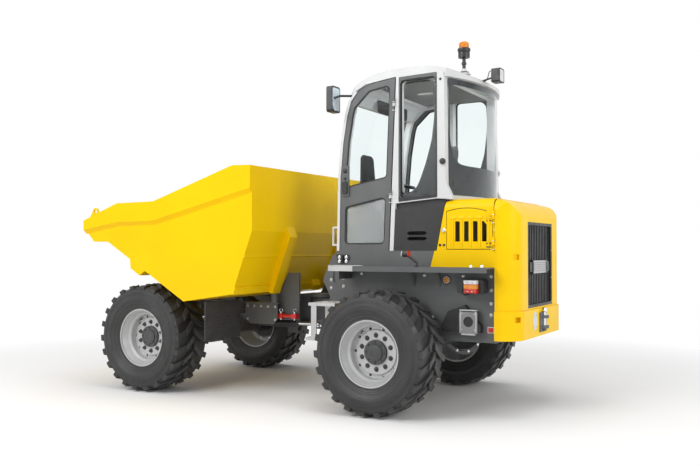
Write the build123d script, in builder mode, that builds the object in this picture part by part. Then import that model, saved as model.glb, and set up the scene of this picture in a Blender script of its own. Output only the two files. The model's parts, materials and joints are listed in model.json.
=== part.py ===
import os
from math import atan2, cos, degrees, hypot, radians, sin, tan

from build123d import *

os.makedirs("parts", exist_ok=True)

# Overall layout, millimetres, X forward, Y left, Z up, ground at zero
wheelbase = 2700
front_overhang = 800
rear_overhang = 1260
overall_length = front_overhang + wheelbase + rear_overhang
rear_axle_x = rear_overhang - overall_length / 2
front_axle_x = rear_axle_x + wheelbase
half_track = 988
rear_end_x = -overall_length / 2
front_end_x = overall_length / 2

# Clearances
pin_gap = 0.5
run_gap = 6.0
panel_gap = 6.0
overcut = 1.0

# Tyre, rim and hub
tyre_radius = 560
tyre_width = 500
tread_radius = 528
tread_half = 206
shoulder_radius = 503
shoulder_half = 237
sidewall_radius = 428
bead_radius = 300
dish_radius = 404
dish_depth = 42
tyre_sides = 48
lug_count = 22
lug_width = 60
lug_inner_y = 8
lug_mid_y = 108
lug_outer_y = 236
lug_mid_lead = 9.0
lug_lead = 13.5
lug_sink = 50
shoulder_drop = 12.0
rim_half = 200
rim_wall = 12
rim_lip = 14
rim_lip_deep = 22
rim_cone_radius = 258
rim_cone_y = 120
rim_step_radius = 238
rim_ring_y = 34
rim_disc_rise = 16
rim_face_radius = 198
rim_disc_wall = 18
rim_hub_hole = 112
rim_window_radius = 14
rim_window_circle = 217
rim_window_count = 10
hub_radius = 110
hub_flange_radius = 190
hub_inner_y = -230
hub_outer_y = 74
hub_cap_radius = 74
hub_cap_high = 10
spindle_radius = 46
spindle_end_y = 20

# Axles
axle_tube_radius = 88
axle_end_gap = 10
axle_end_y = half_track + hub_inner_y - axle_end_gap
diff_radius = 158
diff_half = 90
diff_cone = 130
axle_pad_in = 330
axle_pad_out = 470
axle_pad_half = 110

# Steering pivot between the two frames
pivot_x = 90
nose_half = 130
nose_low = 715
nose_high = 960
nose_root_half = 420
nose_taper_x = -150
yoke_radius = 150
yoke_plate = 34
yoke_gap = 8
steer_pin_radius = 52
yoke_front_x = 300

# Rear chassis
rear_front_x = -440
rear_back_x = -2106
rear_plate_y = 640
rear_plate = 20
rear_low = 655
rear_high = 1308
rear_tower = [(-700, 1308), (-700, 1465), (-508, 1465), (-436, 1422), (-346, 1228), (-330, 1169), (-405, 1029)]
tower_slot_x = -470
tower_slot_z = 1230
tower_slot_length = 150
tower_slot_wide = 46
belly = 20
bulkhead = 24
steer_lug_half = 60
steer_lug_reach = 45

# Engine
engine_front_x = -1340
engine_back_x = -1980
engine_half = 330
engine_high = 1395

# Fender ledge above the rear wheels
ledge_front_x = -640
ledge_back_x = -2106
ledge_high = 1320
ledge_plate = 12
ledge_y = 905
ledge_lip = 46
ledge_drop = 120
ledge_round = 16
gusset_places = (-1330, -1585)
gusset = 14
gusset_low = 1135
gusset_out = 872
gusset_share = 0.32

# Steps
step_y_in = rear_plate_y + rear_plate
step_y_out = 985
step_upper_z = 975
step_upper_x0 = -655
step_upper_x1 = -365
step_lower_z = 647
step_lower_x0 = -495
step_lower_x1 = -335
step_tray = 28
step_wall = 5
step_strap = 10
step_strap_in = 60
step_strap_x = 40
step_strap_wide = 60

# Cab outline in side view
cab_half = 700
cab_wall_y = 655
cab_inner_y = 600
cab_low = 1465
cab_post = 55
cab_rail = 34
cab_front = [(-508, 1465), (-523, 2170), (-553, 2508), (-598, 2770), (-640, 2905), (-712, 2992)]
cab_top = [cab_front[-1], (-826, 3050), (-1120, 3088), (-1560, 3096), (-1633, 3084)]
cab_rear_top_x = cab_top[-1][0]
cab_rear_top_z = cab_top[-1][1]
cab_back_x = -1560
cab_sill_z = 1930
cab_sill = 30
cab_rear_sill_x = -1650
b_post_low_x = -1076
b_post_high_x = -1147
b_post_half = 34
b_strip = 40
c_foot = 60
c_foot_high = 150
quarter_x0 = -1186
quarter_x1 = -1560
quarter_front_z = 1936
quarter_rear_z = 1971
quarter_top_drop = 34
sill_rail = 30
window_round = 45
opening_high = 2880
a_strip = 28
screen_sill = 15
door_inset = 8
glass = 8
glass_in = 14
rear_glass_x = -1790
rear_glass_y = 640
rear_sill_proud = 24
roof_points = [cab_front[-2], (-682, 3010), (-790, 3090), (-1185, 3162), (-1464, 3156), (-1640, 3124), (-1815, 3080)]
roof_back_x = -1815
roof_skirt_z = 3046
roof_corner = 90
roof_side_in = 20
floor_plate = 30

# Dark side panel below the quarter window
panel_face = 12
panel_rim = 22
panel_back_low_x = -1553
panel_back_high_x = -1642
panel_front_high = 1852
panel_rear_high = 1905
vent_x = -1362
vent_z = 1560
vent_long = 205
vent_wide = 34
vent_pitch = 50
vent_bevel = 24

# Cab door
door_thick = 38
door_y = cab_half
door_axis_y = 716
door_bottom_z = 1459
door_edge = 38
door_top_drop = 10
door_rail = 46
door_top_z = 2890
upper_front_z = 2070
upper_rear_z = 2150
upper_top_z = 2840
upper_top_drop = 52
lower_front_z = 1890
lower_rear_z = 1975
lower_bottom_z = 1526
handle_x0 = -652
handle_x1 = -572
handle_low = 1990
handle_high = 2285
handle_proud = 18
handle_round = 14
hinge_radius = 12
hinge_length = 70
hinge_low_z = 1955
hinge_high_z = 2815
leaf = 6
hinge_pin = 6
hinge_fixed_share = 0.4
hinge_play = 1.0
leaf_width = 46

# Hood and louvre doors
hood_back_x = -2100
hood_high = cab_sill_z
hood_wall = 8
hood_round = 80
hood_top_x = -1722
louvre_front_x = -1660
louvre_back_x = -2086
louvre_low = 1482
louvre_front_high = 1815
louvre_mid_high = 1842
louvre_back_high = 1792
louvre_axis_x = -2098
louvre_axis_y = 714
louvre_axis_z = 1665
louvre_slots = 4
louvre_slot_wide = 44
louvre_slot_pitch = 84
louvre_slot_first_x = -1762
louvre_slot_low = 1548
louvre_slot_high = 1728
louvre_slot_cut = 30
louvre_slot_round = 6
louvre_rib = 14
louvre_rib_proud = 8
louvre_rib_high = 1775
louvre_rib_in = 22
louvre_hinge_low = 1515
louvre_hinge_high = 1745

# Side skirts under the hood
skirt_front_low_x = -1497
skirt_front_high_x = -1537
skirt = 10

# Tail cover and grille
tail_front_x = rear_back_x
tail_back_x = -2304
tail_low = 682
tail_high = 1920
tail_mid_x = -2215
tail_mid_high = 1888
tail_back_high = 1775
tail_shoulder = 100
tail_corner = 176
tail_wall = 10
bumper_high = 935
bumper_proud = 16
grille_half = 380
grille_low = 950
grille_high = 1725
grille_frame = 26
grille_slats = 14
grille_slat = 20
grille_slat_deep = 26
grille_back = 60
grille_rear_in = 22
grille_plate_half = 78
grille_plate_low = 1262
grille_plate_high = 1372
pocket_angle = 31.5
pocket_wide = 64
pocket_low = (1388, 842)
pocket_high = 46
pocket_deep = 24
pocket_wall = 8

# Tow jaw
jaw_half = 62
jaw_low = 747
jaw_high = 867
jaw_plate = 26
jaw_back_x = rear_end_x
jaw_pin_radius = 17
jaw_pin_x = -2338
jaw_pin_over = 46
jaw_pin_under = 24
jaw_ball = 26
jaw_flange = 100
jaw_flange_over = 30
jaw_flange_plate = 12

# Lamps and small fittings on the rear frame
lamp_x0 = -2035
lamp_x1 = -1790
lamp_lens_x0 = -1990
lamp_lens_x1 = -1880
lamp_y0 = 700
lamp_y1 = 790
lamp_lens_y = 845
lamp_low = 1091
lamp_high = 1215
lamp_round = 26
marker_x = -1375
marker_foot_x = -1450
marker_y0 = 905
marker_y1 = 1010
marker_z = 1440
marker_radius = 30
marker_half = 26
marker_arm = 11
marker_base = 40
chock_x0 = -1985
chock_x1 = -1620
chock_low = 745
chock_high = 985
chock_deep = 68
chock_toe = 60
chock_crown = 150
holder_x0 = -1960
holder_x1 = -1790
holder_plate = 8
holder_hole = 46
holder_band = 34
holder_high = 190
beacon_x = -1709
beacon_y = 400
beacon_radius = 46
beacon_low = 3308
beacon_high = 3415
beacon_cup = 54
beacon_cup_low = 3262
beacon_stem = 16
beacon_foot = 90
beacon_foot_over = 4
beacon_round = 30
work_x0 = -1985
work_x1 = -1905
work_y = 150
work_half = 62
work_low = 3050
work_high = 3180
work_round = 14
work_arm = 9
mirror_x = -560
mirror_deep = 62
mirror_y0 = 725
mirror_y1 = 880
mirror_low = 2790
mirror_high = 3040
mirror_round = 26
mirror_arm = 11
mirror_arm_z = 2960
mirror_arm_x = -690
grab_low = 1520
grab_high = 1690
grab_y = 668
grab_out = 70
grab_radius = 10

# Cab inside
seat_x0 = -1370
seat_x1 = -900
seat_half = 245
seat_base_in = 60
seat_base_end = 40
seat_base_z = 1835
seat_pan_z = 1935
seat_back_z = 2555
seat_back_low = 120
seat_back_lean = 70
seat_back_top = 110
seat_back_in = 20
seat_round = 40
column_x = -740
column_z = 1875
column_radius = 32
wheel_x = -800
wheel_z = 2145
wheel_radius = 185
wheel_rim = 16
wheel_hub = 44
wheel_hub_high = 24
wheel_spoke = 26
wheel_spoke_high = 12
wheel_spokes = 3
dash_x0 = -690
dash_x1 = -585
dash_half = 430
dash_high = 1875
dash_round = 30
pod_x0 = -760
pod_half = 90
pod_high = 1935
arm_x0 = -1330
arm_x1 = -760
arm_y0 = 420
arm_y1 = 560
arm_high = 1935

# Front chassis
rail_y0 = 425
rail_y1 = 450
rail_low = 765
rail_high = 920
rail_front_x = 1900
rail_nose_drop = 60
rail_nose = 80
tall_back_x = 92
tall_top_x = 220
tall_high = 1236
tall_foot_x = 420
tall_low_x = 320
cross_low = 745
apron_x0 = 300
apron_x1 = 712
apron_y = 545
apron_high = 925
apron_low = 700
apron = 10
apron_cut = 60
head_lamp_radius = 62
head_lamp_y = 330
head_lamp_z = 850
head_lamp_deep = 46
head_lamp_ring = 10

# Skip tipping pivot and skip body
tip_x = 1640
tip_z = 1015
tip_pin_radius = 32
tip_ear_radius = 72
tip_ear_foot = 187
tip_ear_y0 = 372
tip_ear_y1 = 412
tip_ear_drop = 60
tip_skip_y0 = 322
tip_skip_y1 = 366
tip_pin_in = 4
tip_pin_out = 8
skip_half = 1200
skip_wall = 10
skip_rim_y = 1245
skip_floor = [(140, 2285), (140, 1655), (375, 1043), (993, 955), (front_end_x, 1746)]
skip_top = [(front_end_x, 1793), (1883, 1967), (1370, 1972), (347, 2291)]
skip_band_low = [(front_end_x, 1690), (1883, 1769), (1370, 1775), (140, 2066)]
skip_band_slope = 42
skip_end_strip = 34
skip_end_proud = 10
skip_mouth = 100
lip_reach = 40
lip_back_x = 2052
lip_low_x0 = 2080
lip_low_x1 = 2262
lip_low_z = 1562
lip_front_z = 1676
under_rib_back_x = 1519
under_rib_low_x = 1594
under_rib_front_x = 1720
under_rib_low_z = 1206
under_rib_front_z = 1280
under_rib_in = 0
rear_rib_y0 = 470
rear_rib_y1 = 610
rear_rib_deep = 58
rear_rib_cap = 34
rear_rib_cap_high = 50
rib_foot_radius = 62
rib_foot = 26
rear_strip_high = 76
rear_strip_deep = 12
rear_bead_share = 0.60
rear_bead = 16
mid_plate_y0 = 170
mid_plate_y1 = 320
mid_plate_high = 110
mid_plate_deep = 90
eye_x0 = 2130
eye_x1 = 2300
eye_top_x = 2216
eye_top_z = 1926
eye_hole = 22
eye_radius = 40
eye_plate = 20
eye_y = 1210
buffer_radius = 34
buffer_x = 338
buffer_y = 540

# Tip cylinder
tip_base_x = 450
tip_base_z = 615
tip_base_drop = 45
tip_base_back = 70
tip_base_plate = 20
tip_base_front = 45
tip_eye_x = 1450
tip_eye_z = 1095
tip_eye_radius = 48
tip_eye_half = 32
tip_barrel_radius = 50
tip_gland_radius = 56
tip_gland_share = 0.05
tip_rod_radius = 36
tip_barrel_share = 0.70
tip_bore_share = 0.12
tip_rod_share = 0.14
tip_neck_share = 1.6
tip_lug_y0 = 40
tip_lug_y1 = 62
tip_lug_pin = 24
tip_lug_half = 40
tip_lug_foot = 110
tip_lug_drop = 30

# Steering cylinders
steer_front_x = 760
steer_front_y = 330
steer_rear_x = -60
steer_rear_y = 250
steer_z = 700
steer_eye_radius = 38
steer_eye_half = 24
steer_barrel_radius = 44
steer_gland_radius = 49
steer_gland_share = 0.04
steer_rod_radius = 22
steer_barrel_share = 0.66
steer_neck_share = 0.085
steer_bore_share = 0.10
steer_rod_share = 0.32
steer_lug = 16
steer_lug_pin = 20
steer_pad = 50
steer_pad_in = 45

# Mud flaps and lock bar
flap_x = 730
flap = 14
flap_y0 = 600
flap_y1 = 1170
flap_low = 565
flap_high = 955
flap_band = 90
flap_groove = 5
flap_groove_pitch = 34
flap_arm_low = 40
lock_y = 490
lock_x0 = 122
lock_x1 = 292
lock_low = 790
lock_radius = 16
lock_eye = 26
lock_eye_high = 24


def both(low, high, side):
    return tuple(sorted((side * low, side * high)))


def block(x0, x1, y0, y1, z0, z1, mode=Mode.ADD):
    with Locations(((x0 + x1) / 2, (y0 + y1) / 2, (z0 + z1) / 2)):
        Box(abs(x1 - x0), abs(y1 - y0), abs(z1 - z0), mode=mode)


def side_plate(points, y0, y1, mode=Mode.ADD, rounding=0):
    with BuildSketch(Plane.XZ.offset(-max(y0, y1))) as flat:
        with BuildLine():
            Polyline(*points, close=True)
        make_face()
        if rounding:
            fillet(flat.vertices(), rounding)
    extrude(flat.sketch, amount=abs(y1 - y0), mode=mode)


def plan_plate(points, z0, z1, mode=Mode.ADD):
    with BuildSketch(Plane.XY.offset(z0)) as flat:
        with BuildLine():
            Polyline(*points, close=True)
        make_face()
    extrude(flat.sketch, amount=z1 - z0, mode=mode)


def round_y(x, z, radius, y0, y1, mode=Mode.ADD):
    with BuildSketch(Plane.XZ.offset(-max(y0, y1))) as flat:
        with Locations((x, z)):
            Circle(radius)
    extrude(flat.sketch, amount=abs(y1 - y0), mode=mode)


def round_z(x, y, radius, z0, z1, mode=Mode.ADD):
    with BuildSketch(Plane.XY.offset(z0)) as flat:
        with Locations((x, y)):
            Circle(radius)
    extrude(flat.sketch, amount=z1 - z0, mode=mode)


def bar(start, end, radius, mode=Mode.ADD):
    run = Vector(*end) - Vector(*start)
    with BuildSketch(Plane(origin=start, z_dir=run)) as flat:
        Circle(radius)
    extrude(flat.sketch, amount=run.length, mode=mode)


def inset(points, depth):
    moved = []
    for i, (x, z) in enumerate(points):
        lines = []
        for a, b in ((i - 1, i), (i, i + 1)):
            if a >= 0 and b < len(points):
                dx = points[b][0] - points[a][0]
                dz = points[b][1] - points[a][1]
                size = hypot(dx, dz)
                lines.append((-dz / size, dx / size))
        if len(lines) == 1:
            moved.append((x + depth * lines[0][0], z + depth * lines[0][1]))
        else:
            (ax, az), (bx, bz) = lines
            scale = depth / (1 + ax * bx + az * bz)
            moved.append((x + scale * (ax + bx), z + scale * (az + bz)))
    return moved


def save(part, label):
    part.label = label
    export_step(part, f"parts/{label}.step")


# Tyre, one pattern wheel at the origin with its outer face towards plus Y
tyre_sections = [
    (-tyre_width / 2, sidewall_radius),
    (-shoulder_half, shoulder_radius),
    (-tread_half, tread_radius),
    (tread_half, tread_radius),
    (shoulder_half, shoulder_radius),
    (tyre_width / 2, sidewall_radius),
]
lug_corner = radians(lug_mid_lead) / 2 * tyre_radius + lug_width / 2
tyre_top = (tyre_radius**2 - lug_corner**2) ** 0.5
lug_pieces = (
    (lug_inner_y, lug_mid_y, 0.0, lug_mid_lead, 0.0),
    (lug_mid_y, lug_outer_y, lug_mid_lead, lug_lead, shoulder_drop),
)
with BuildPart() as tyre_lugs:
    for y_a, y_b, lead_a, lead_b, drop in lug_pieces:
        for lug in range(lug_count):
            for side in (1, -1):
                base = 360 / lug_count * (lug + (0 if side > 0 else 0.5))
                angle = radians(base + (lead_a + lead_b) / 2)
                outward = Vector(cos(angle), 0, sin(angle))
                ahead = Vector(-sin(angle), 0, cos(angle))
                shift = radians(lead_b - lead_a) / 2 * tyre_radius
                lug_plane = Plane(origin=outward * (tyre_top - lug_sink), x_dir=ahead, z_dir=outward)
                sign = side if lug_plane.y_dir.Y > 0 else -side
                with BuildSketch(lug_plane):
                    with BuildLine():
                        Polyline(
                            (-shift - lug_width / 2, sign * y_a),
                            (-shift + lug_width / 2, sign * y_a),
                            (shift + lug_width / 2, sign * y_b),
                            (shift - lug_width / 2, sign * y_b),
                            close=True,
                        )
                    make_face()
        extrude(amount=lug_sink - drop)
with BuildPart() as tyre_pattern:
    for section_y, section_radius in tyre_sections:
        with BuildSketch(Plane.XZ.offset(-section_y)):
            RegularPolygon(section_radius, tyre_sides)
    loft(ruled=True)
    for side in (1, -1):
        with BuildSketch(Plane.XZ.offset(-side * tyre_width / 2)):
            RegularPolygon(dish_radius, tyre_sides)
        with BuildSketch(Plane.XZ.offset(-side * (tyre_width / 2 - dish_depth))):
            RegularPolygon(bead_radius + rim_lip, tyre_sides)
        loft(ruled=True, mode=Mode.SUBTRACT)
    round_y(0, 0, bead_radius, -tyre_width, tyre_width, mode=Mode.SUBTRACT)
    add(tyre_lugs.part)

axle_z = -tyre_pattern.part.bounding_box().min.Z

# Rim, one turned section from the lip through the stepped cone to the disc
rim_face_y = rim_ring_y + rim_disc_rise
rim_section = [
    (bead_radius, -rim_half),
    (bead_radius, rim_half),
    (bead_radius - rim_lip, rim_half),
    (bead_radius - rim_lip, rim_half - rim_lip_deep),
    (rim_cone_radius, rim_cone_y),
    (rim_step_radius, rim_cone_y - rim_lip_deep),
    (rim_step_radius, rim_ring_y),
    (rim_face_radius + rim_disc_rise / 2, rim_ring_y),
    (rim_face_radius, rim_face_y),
    (rim_hub_hole, rim_face_y),
    (rim_hub_hole, rim_face_y - rim_disc_wall),
    (rim_face_radius, rim_face_y - rim_disc_wall),
    (rim_face_radius + rim_disc_rise / 2, rim_ring_y - rim_disc_wall),
    (rim_step_radius + rim_wall, rim_ring_y - rim_disc_wall),
    (bead_radius - rim_wall, -rim_half),
]
with BuildPart() as rim_pattern:
    with BuildSketch(Plane.XY):
        with BuildLine():
            Polyline(*rim_section, close=True)
        make_face()
    revolve(axis=Axis.Y)
    with BuildSketch(Plane.XZ.offset(-rim_ring_y)):
        with PolarLocations(rim_window_circle, rim_window_count):
            Circle(rim_window_radius)
    extrude(amount=rim_disc_wall + rim_disc_rise, both=True, mode=Mode.SUBTRACT)

# Hub, flange and cap
with BuildPart() as hub_pattern:
    round_y(0, 0, hub_radius, hub_inner_y, hub_outer_y)
    round_y(0, 0, hub_flange_radius, rim_face_y - 2 * rim_disc_wall, rim_face_y - rim_disc_wall)
    round_y(0, 0, hub_cap_radius, hub_outer_y, hub_outer_y + hub_cap_high)
    round_y(
        0,
        0,
        spindle_radius + pin_gap,
        hub_inner_y - overcut,
        spindle_end_y + run_gap,
        mode=Mode.SUBTRACT,
    )

wheel_places = (
    ("fl", front_axle_x, 1),
    ("fr", front_axle_x, -1),
    ("rl", rear_axle_x, 1),
    ("rr", rear_axle_x, -1),
)
wheel_parts = (("tyre", tyre_pattern), ("rim", rim_pattern), ("hub", hub_pattern))
for place, wheel_axle_x, side in wheel_places:
    for piece, pattern in wheel_parts:
        with BuildPart() as wheel_piece:
            add(pattern.part if side > 0 else mirror(pattern.part, about=Plane.XZ, mode=Mode.PRIVATE))
        placed = Pos(wheel_axle_x, side * half_track, axle_z) * wheel_piece.part
        save(placed, f"{piece}_{place}")

# Axles, turned housings with a swelling for the differential
axle_section = [
    (0, -half_track - spindle_end_y),
    (spindle_radius, -half_track - spindle_end_y),
    (spindle_radius, -axle_end_y),
    (axle_tube_radius, -axle_end_y),
    (axle_tube_radius, -diff_half - diff_cone),
    (diff_radius, -diff_half),
    (diff_radius, diff_half),
    (axle_tube_radius, diff_half + diff_cone),
    (axle_tube_radius, axle_end_y),
    (spindle_radius, axle_end_y),
    (spindle_radius, half_track + spindle_end_y),
    (0, half_track + spindle_end_y),
]
axle_places = (
    ("rear_axle", rear_axle_x, rear_low, axle_pad_in, axle_pad_out),
    ("front_axle", front_axle_x, rail_low, rail_y0 - axle_pad_half / 2, rail_y1 + axle_pad_half / 2),
)
for axle_name, axle_x, pad_high, pad_in, pad_out in axle_places:
    with BuildPart() as axle:
        with BuildSketch(Plane.XY.offset(axle_z)):
            with BuildLine():
                Polyline(*[(axle_x + r, y) for r, y in axle_section], close=True)
            make_face()
        revolve(axis=Axis((axle_x, 0, axle_z), (0, 1, 0)))
        for side in (1, -1):
            y0, y1 = both(pad_in, pad_out, side)
            block(axle_x - axle_pad_half, axle_x + axle_pad_half, y0, y1, axle_z, pad_high)
    save(axle.part, axle_name)

# Rear chassis with the pivot nose and the towers under the cab
rear_outline = [(rear_back_x, rear_low), (rear_back_x, rear_high)] + rear_tower + [(rear_front_x, rear_low)]
steer_lug_heights = (steer_z + steer_eye_half + run_gap, steer_z - steer_eye_half - run_gap - steer_lug)
with BuildPart() as rear_chassis:
    for side in (1, -1):
        y0, y1 = both(rear_plate_y, rear_plate_y + rear_plate, side)
        side_plate(rear_outline, y0, y1)
    block(rear_back_x, rear_front_x, -rear_plate_y, rear_plate_y, rear_low, rear_low + belly)
    block(rear_front_x - bulkhead, rear_front_x, -rear_plate_y, rear_plate_y, rear_low, rear_high)
    block(rear_back_x, rear_back_x + bulkhead, -rear_plate_y, rear_plate_y, rear_low, rear_high)
    block(
        rear_axle_x - diff_radius - belly,
        rear_axle_x + diff_radius + belly,
        -diff_half - diff_cone - belly,
        diff_half + diff_cone + belly,
        rear_low - overcut,
        rear_low + belly + overcut,
        mode=Mode.SUBTRACT,
    )
    nose_points = [
        (rear_front_x, -nose_root_half),
        (nose_taper_x, -nose_half),
        (pivot_x, -nose_half),
        (pivot_x, nose_half),
        (nose_taper_x, nose_half),
        (rear_front_x, nose_root_half),
    ]
    plan_plate(nose_points, nose_low, nose_high)
    round_z(pivot_x, 0, nose_half, nose_low, nose_high)
    for side in (1, -1):
        y0, y1 = both(steer_rear_y - steer_lug_half, steer_rear_y + steer_lug_half, side)
        eye_room = steer_eye_radius + run_gap + steer_eye_radius
        block(
            steer_rear_x - eye_room,
            pivot_x,
            y0,
            y1,
            nose_low - overcut,
            steer_z + steer_eye_half + run_gap,
            mode=Mode.SUBTRACT,
        )
        for z0 in steer_lug_heights:
            block(rear_front_x - bulkhead, steer_rear_x + steer_lug_reach, y0, y1, z0, z0 + steer_lug)
        with BuildSketch(Plane.XZ.offset(-side * (rear_plate_y + rear_plate))):
            with Locations((tower_slot_x, tower_slot_z)):
                SlotOverall(tower_slot_length, tower_slot_wide, rotation=90)
        extrude(amount=side * rear_plate / 2, mode=Mode.SUBTRACT)
    round_z(pivot_x, 0, steer_pin_radius + pin_gap, nose_low, nose_high, mode=Mode.SUBTRACT)
save(rear_chassis.part, "rear_chassis")

# Engine
with BuildPart() as engine_block:
    block(engine_back_x, engine_front_x, -engine_half, engine_half, rear_low + belly, engine_high)
save(engine_block.part, "engine_block")

# Fender ledges with curved gussets
chassis_face = rear_plate_y + rear_plate
with BuildPart() as fenders:
    for side in (1, -1):
        y0, y1 = both(rear_plate_y, ledge_y, side)
        block(ledge_back_x, ledge_front_x, y0, y1, ledge_high - ledge_plate, ledge_high)
        y0, y1 = both(ledge_y - ledge_plate, ledge_y, side)
        block(ledge_back_x, ledge_front_x, y0, y1, ledge_high - ledge_lip, ledge_high)
        y0, y1 = both(chassis_face, ledge_y, side)
        block(ledge_front_x - ledge_plate, ledge_front_x, y0, y1, ledge_high - ledge_drop, ledge_high)
        for gusset_x in gusset_places:
            with BuildSketch(Plane.YZ.offset(gusset_x)):
                with BuildLine():
                    Line((side * chassis_face, gusset_low), (side * chassis_face, ledge_high - ledge_plate))
                    Line(
                        (side * chassis_face, ledge_high - ledge_plate),
                        (side * gusset_out, ledge_high - ledge_plate),
                    )
                    ThreePointArc(
                        (side * gusset_out, ledge_high - ledge_plate),
                        (
                            side * (chassis_face + gusset_share * (gusset_out - chassis_face)),
                            gusset_low + (1 - gusset_share) * (ledge_high - ledge_plate - gusset_low),
                        ),
                        (side * chassis_face, gusset_low),
                    )
                make_face()
            extrude(amount=gusset)
    add(rear_chassis.part, mode=Mode.SUBTRACT)
save(fenders.part, "fenders")

# Steps on both sides, folded trays and hanger straps
with BuildPart() as steps:
    for side in (1, -1):
        y0, y1 = both(step_y_in, step_y_out, side)
        block(step_upper_x0, step_upper_x1, y0, y1, step_upper_z - step_tray, step_upper_z)
        block(
            step_upper_x0 + step_wall,
            step_upper_x1 - step_wall,
            y0 + step_wall,
            y1 - step_wall,
            step_upper_z - step_tray - overcut,
            step_upper_z - step_wall,
            mode=Mode.SUBTRACT,
        )
        strap_in = step_y_in + step_strap_in
        y0, y1 = both(strap_in, step_y_out, side)
        block(step_lower_x0, step_lower_x1, y0, y1, step_lower_z - step_tray, step_lower_z)
        for strap_y in (strap_in, step_y_out - step_strap):
            y0, y1 = both(strap_y, strap_y + step_strap, side)
            strap_x = step_lower_x0 + step_strap_x
            block(strap_x, strap_x + step_strap_wide, y0, y1, step_lower_z - step_tray, step_upper_z - step_wall)
save(steps.part, "steps")

# Cab base, grey plates between the ledge and the cab
with BuildPart() as cab_base:
    for side in (1, -1):
        y0, y1 = both(cab_half - skirt, cab_half, side)
        base_points = [
            (cab_front[0][0], ledge_high),
            (cab_front[0][0], cab_low),
            (skirt_front_high_x, cab_low),
            (skirt_front_low_x, ledge_high),
        ]
        side_plate(base_points, y0, y1)
    block(cab_front[0][0] - skirt, cab_front[0][0], -cab_half, cab_half, ledge_high, cab_low)
    add(rear_chassis.part, mode=Mode.SUBTRACT)
save(cab_base.part, "cab_base")

# Side skirts, yellow plates behind the cab base
with BuildPart() as side_skirts:
    for side in (1, -1):
        y0, y1 = both(cab_half - skirt, cab_half, side)
        skirt_points = [
            (skirt_front_low_x - overcut, ledge_high),
            (skirt_front_high_x - overcut, cab_low),
            (rear_back_x, cab_low),
            (rear_back_x, ledge_high),
        ]
        side_plate(skirt_points, y0, y1)
save(side_skirts.part, "side_skirts")


# Cab outline helpers
def b_post_x(z):
    share = (z - cab_low) / (cab_rear_top_z - cab_low)
    return b_post_low_x + share * (b_post_high_x - b_post_low_x)


def front_x(z):
    for (xa, za), (xb, zb) in zip(cab_front, cab_front[1:]):
        if za <= z <= zb:
            return xa + (xb - xa) * (z - za) / (zb - za)
    return cab_front[-1][0]


def top_z(x):
    for (xa, za), (xb, zb) in zip(cab_top, cab_top[1:]):
        if xb <= x <= xa:
            return za + (zb - za) * (x - xa) / (xb - xa)
    return cab_rear_top_z


def front_line(depth, low, high):
    heights = [low] + [z for x, z in cab_front if low < z < high] + [high]
    return [(front_x(z) - depth, z) for z in heights]


def top_line(drop, x_front, x_rear):
    places = [x_front] + [x for x, z in cab_top if x_rear < x < x_front] + [x_rear]
    return [(x, top_z(x) - drop) for x in places]


def sill_z(x):
    share = (x - quarter_x0) / (quarter_x1 - quarter_x0)
    return quarter_front_z + share * (quarter_rear_z - quarter_front_z)


def louvre_axis(z):
    return louvre_axis_x


def panel_back_x(z):
    share = (z - cab_low) / (panel_rear_high - cab_low)
    return panel_back_low_x + share * (panel_back_high_x - panel_back_low_x)


def hinge_fixed(axis_x, axis_y, low, side):
    split = low + hinge_length * hinge_fixed_share
    high = low + hinge_length
    y0, y1 = both(cab_half, cab_half + leaf, side)
    block(axis_x(low) - leaf_width, axis_x(low) + hinge_pin / 2, y0, y1, low, split)
    bar((axis_x(low), side * axis_y, low), (axis_x(split), side * axis_y, split), hinge_radius)
    bar((axis_x(low), side * axis_y, low), (axis_x(high), side * axis_y, high), hinge_pin)


def hinge_moving(axis_x, axis_y, low, side):
    split = low + hinge_length * hinge_fixed_share + hinge_play
    high = low + hinge_length
    y0, y1 = both(cab_half, cab_half + leaf, side)
    block(axis_x(low), axis_x(low) + leaf_width + hinge_radius, y0, y1, split, high)
    bar((axis_x(split), side * axis_y, split), (axis_x(high), side * axis_y, high), hinge_radius)
    bar(
        (axis_x(low), side * axis_y, low),
        (axis_x(high), side * axis_y, high),
        hinge_pin + pin_gap,
        mode=Mode.SUBTRACT,
    )


# Cab frame, posts and rails left by the window openings
cab_outline = cab_front + cab_top[1:] + [
    (cab_rear_sill_x, cab_sill_z + cab_sill),
    (cab_rear_sill_x, cab_sill_z),
    (cab_back_x, cab_sill_z),
    (cab_back_x, cab_low),
]
opening_low = cab_low + cab_post
door_hole = front_line(cab_post + door_inset, opening_low, opening_high) + top_line(
    cab_post, cab_top[1][0], b_post_x(opening_high) + b_post_half
)
door_hole += [(b_post_x(opening_low) + b_post_half, opening_low)]
quarter_hole = [(quarter_x0, sill_z(quarter_x0))] + top_line(quarter_top_drop, quarter_x0, quarter_x1)
quarter_hole += [(quarter_x1, sill_z(quarter_x1))]
panel_hole = [
    (b_post_x(cab_low) - b_post_half - b_strip, opening_low),
    (b_post_x(cab_sill_z) - b_post_half - b_strip, panel_front_high - cab_post),
    (cab_back_x + cab_post, panel_front_high - cab_post),
    (cab_back_x + cab_post, opening_low),
]
inner_outline = front_line(cab_post, opening_low, opening_high) + top_line(
    cab_post, cab_front[-1][0] - cab_post, cab_rear_top_x + cab_post
)
inner_outline += [
    (cab_rear_sill_x + cab_post, quarter_front_z),
    (cab_back_x + cab_post, quarter_front_z - cab_post),
    (cab_back_x + cab_post, opening_low),
]
b_face_low = b_post_x(cab_low) - run_gap
b_face_sill = b_post_x(quarter_front_z) - run_gap
rear_post = [(b_face_low, cab_low)] + top_line(0, b_post_x(cab_rear_top_z) - run_gap, cab_rear_top_x)
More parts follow.
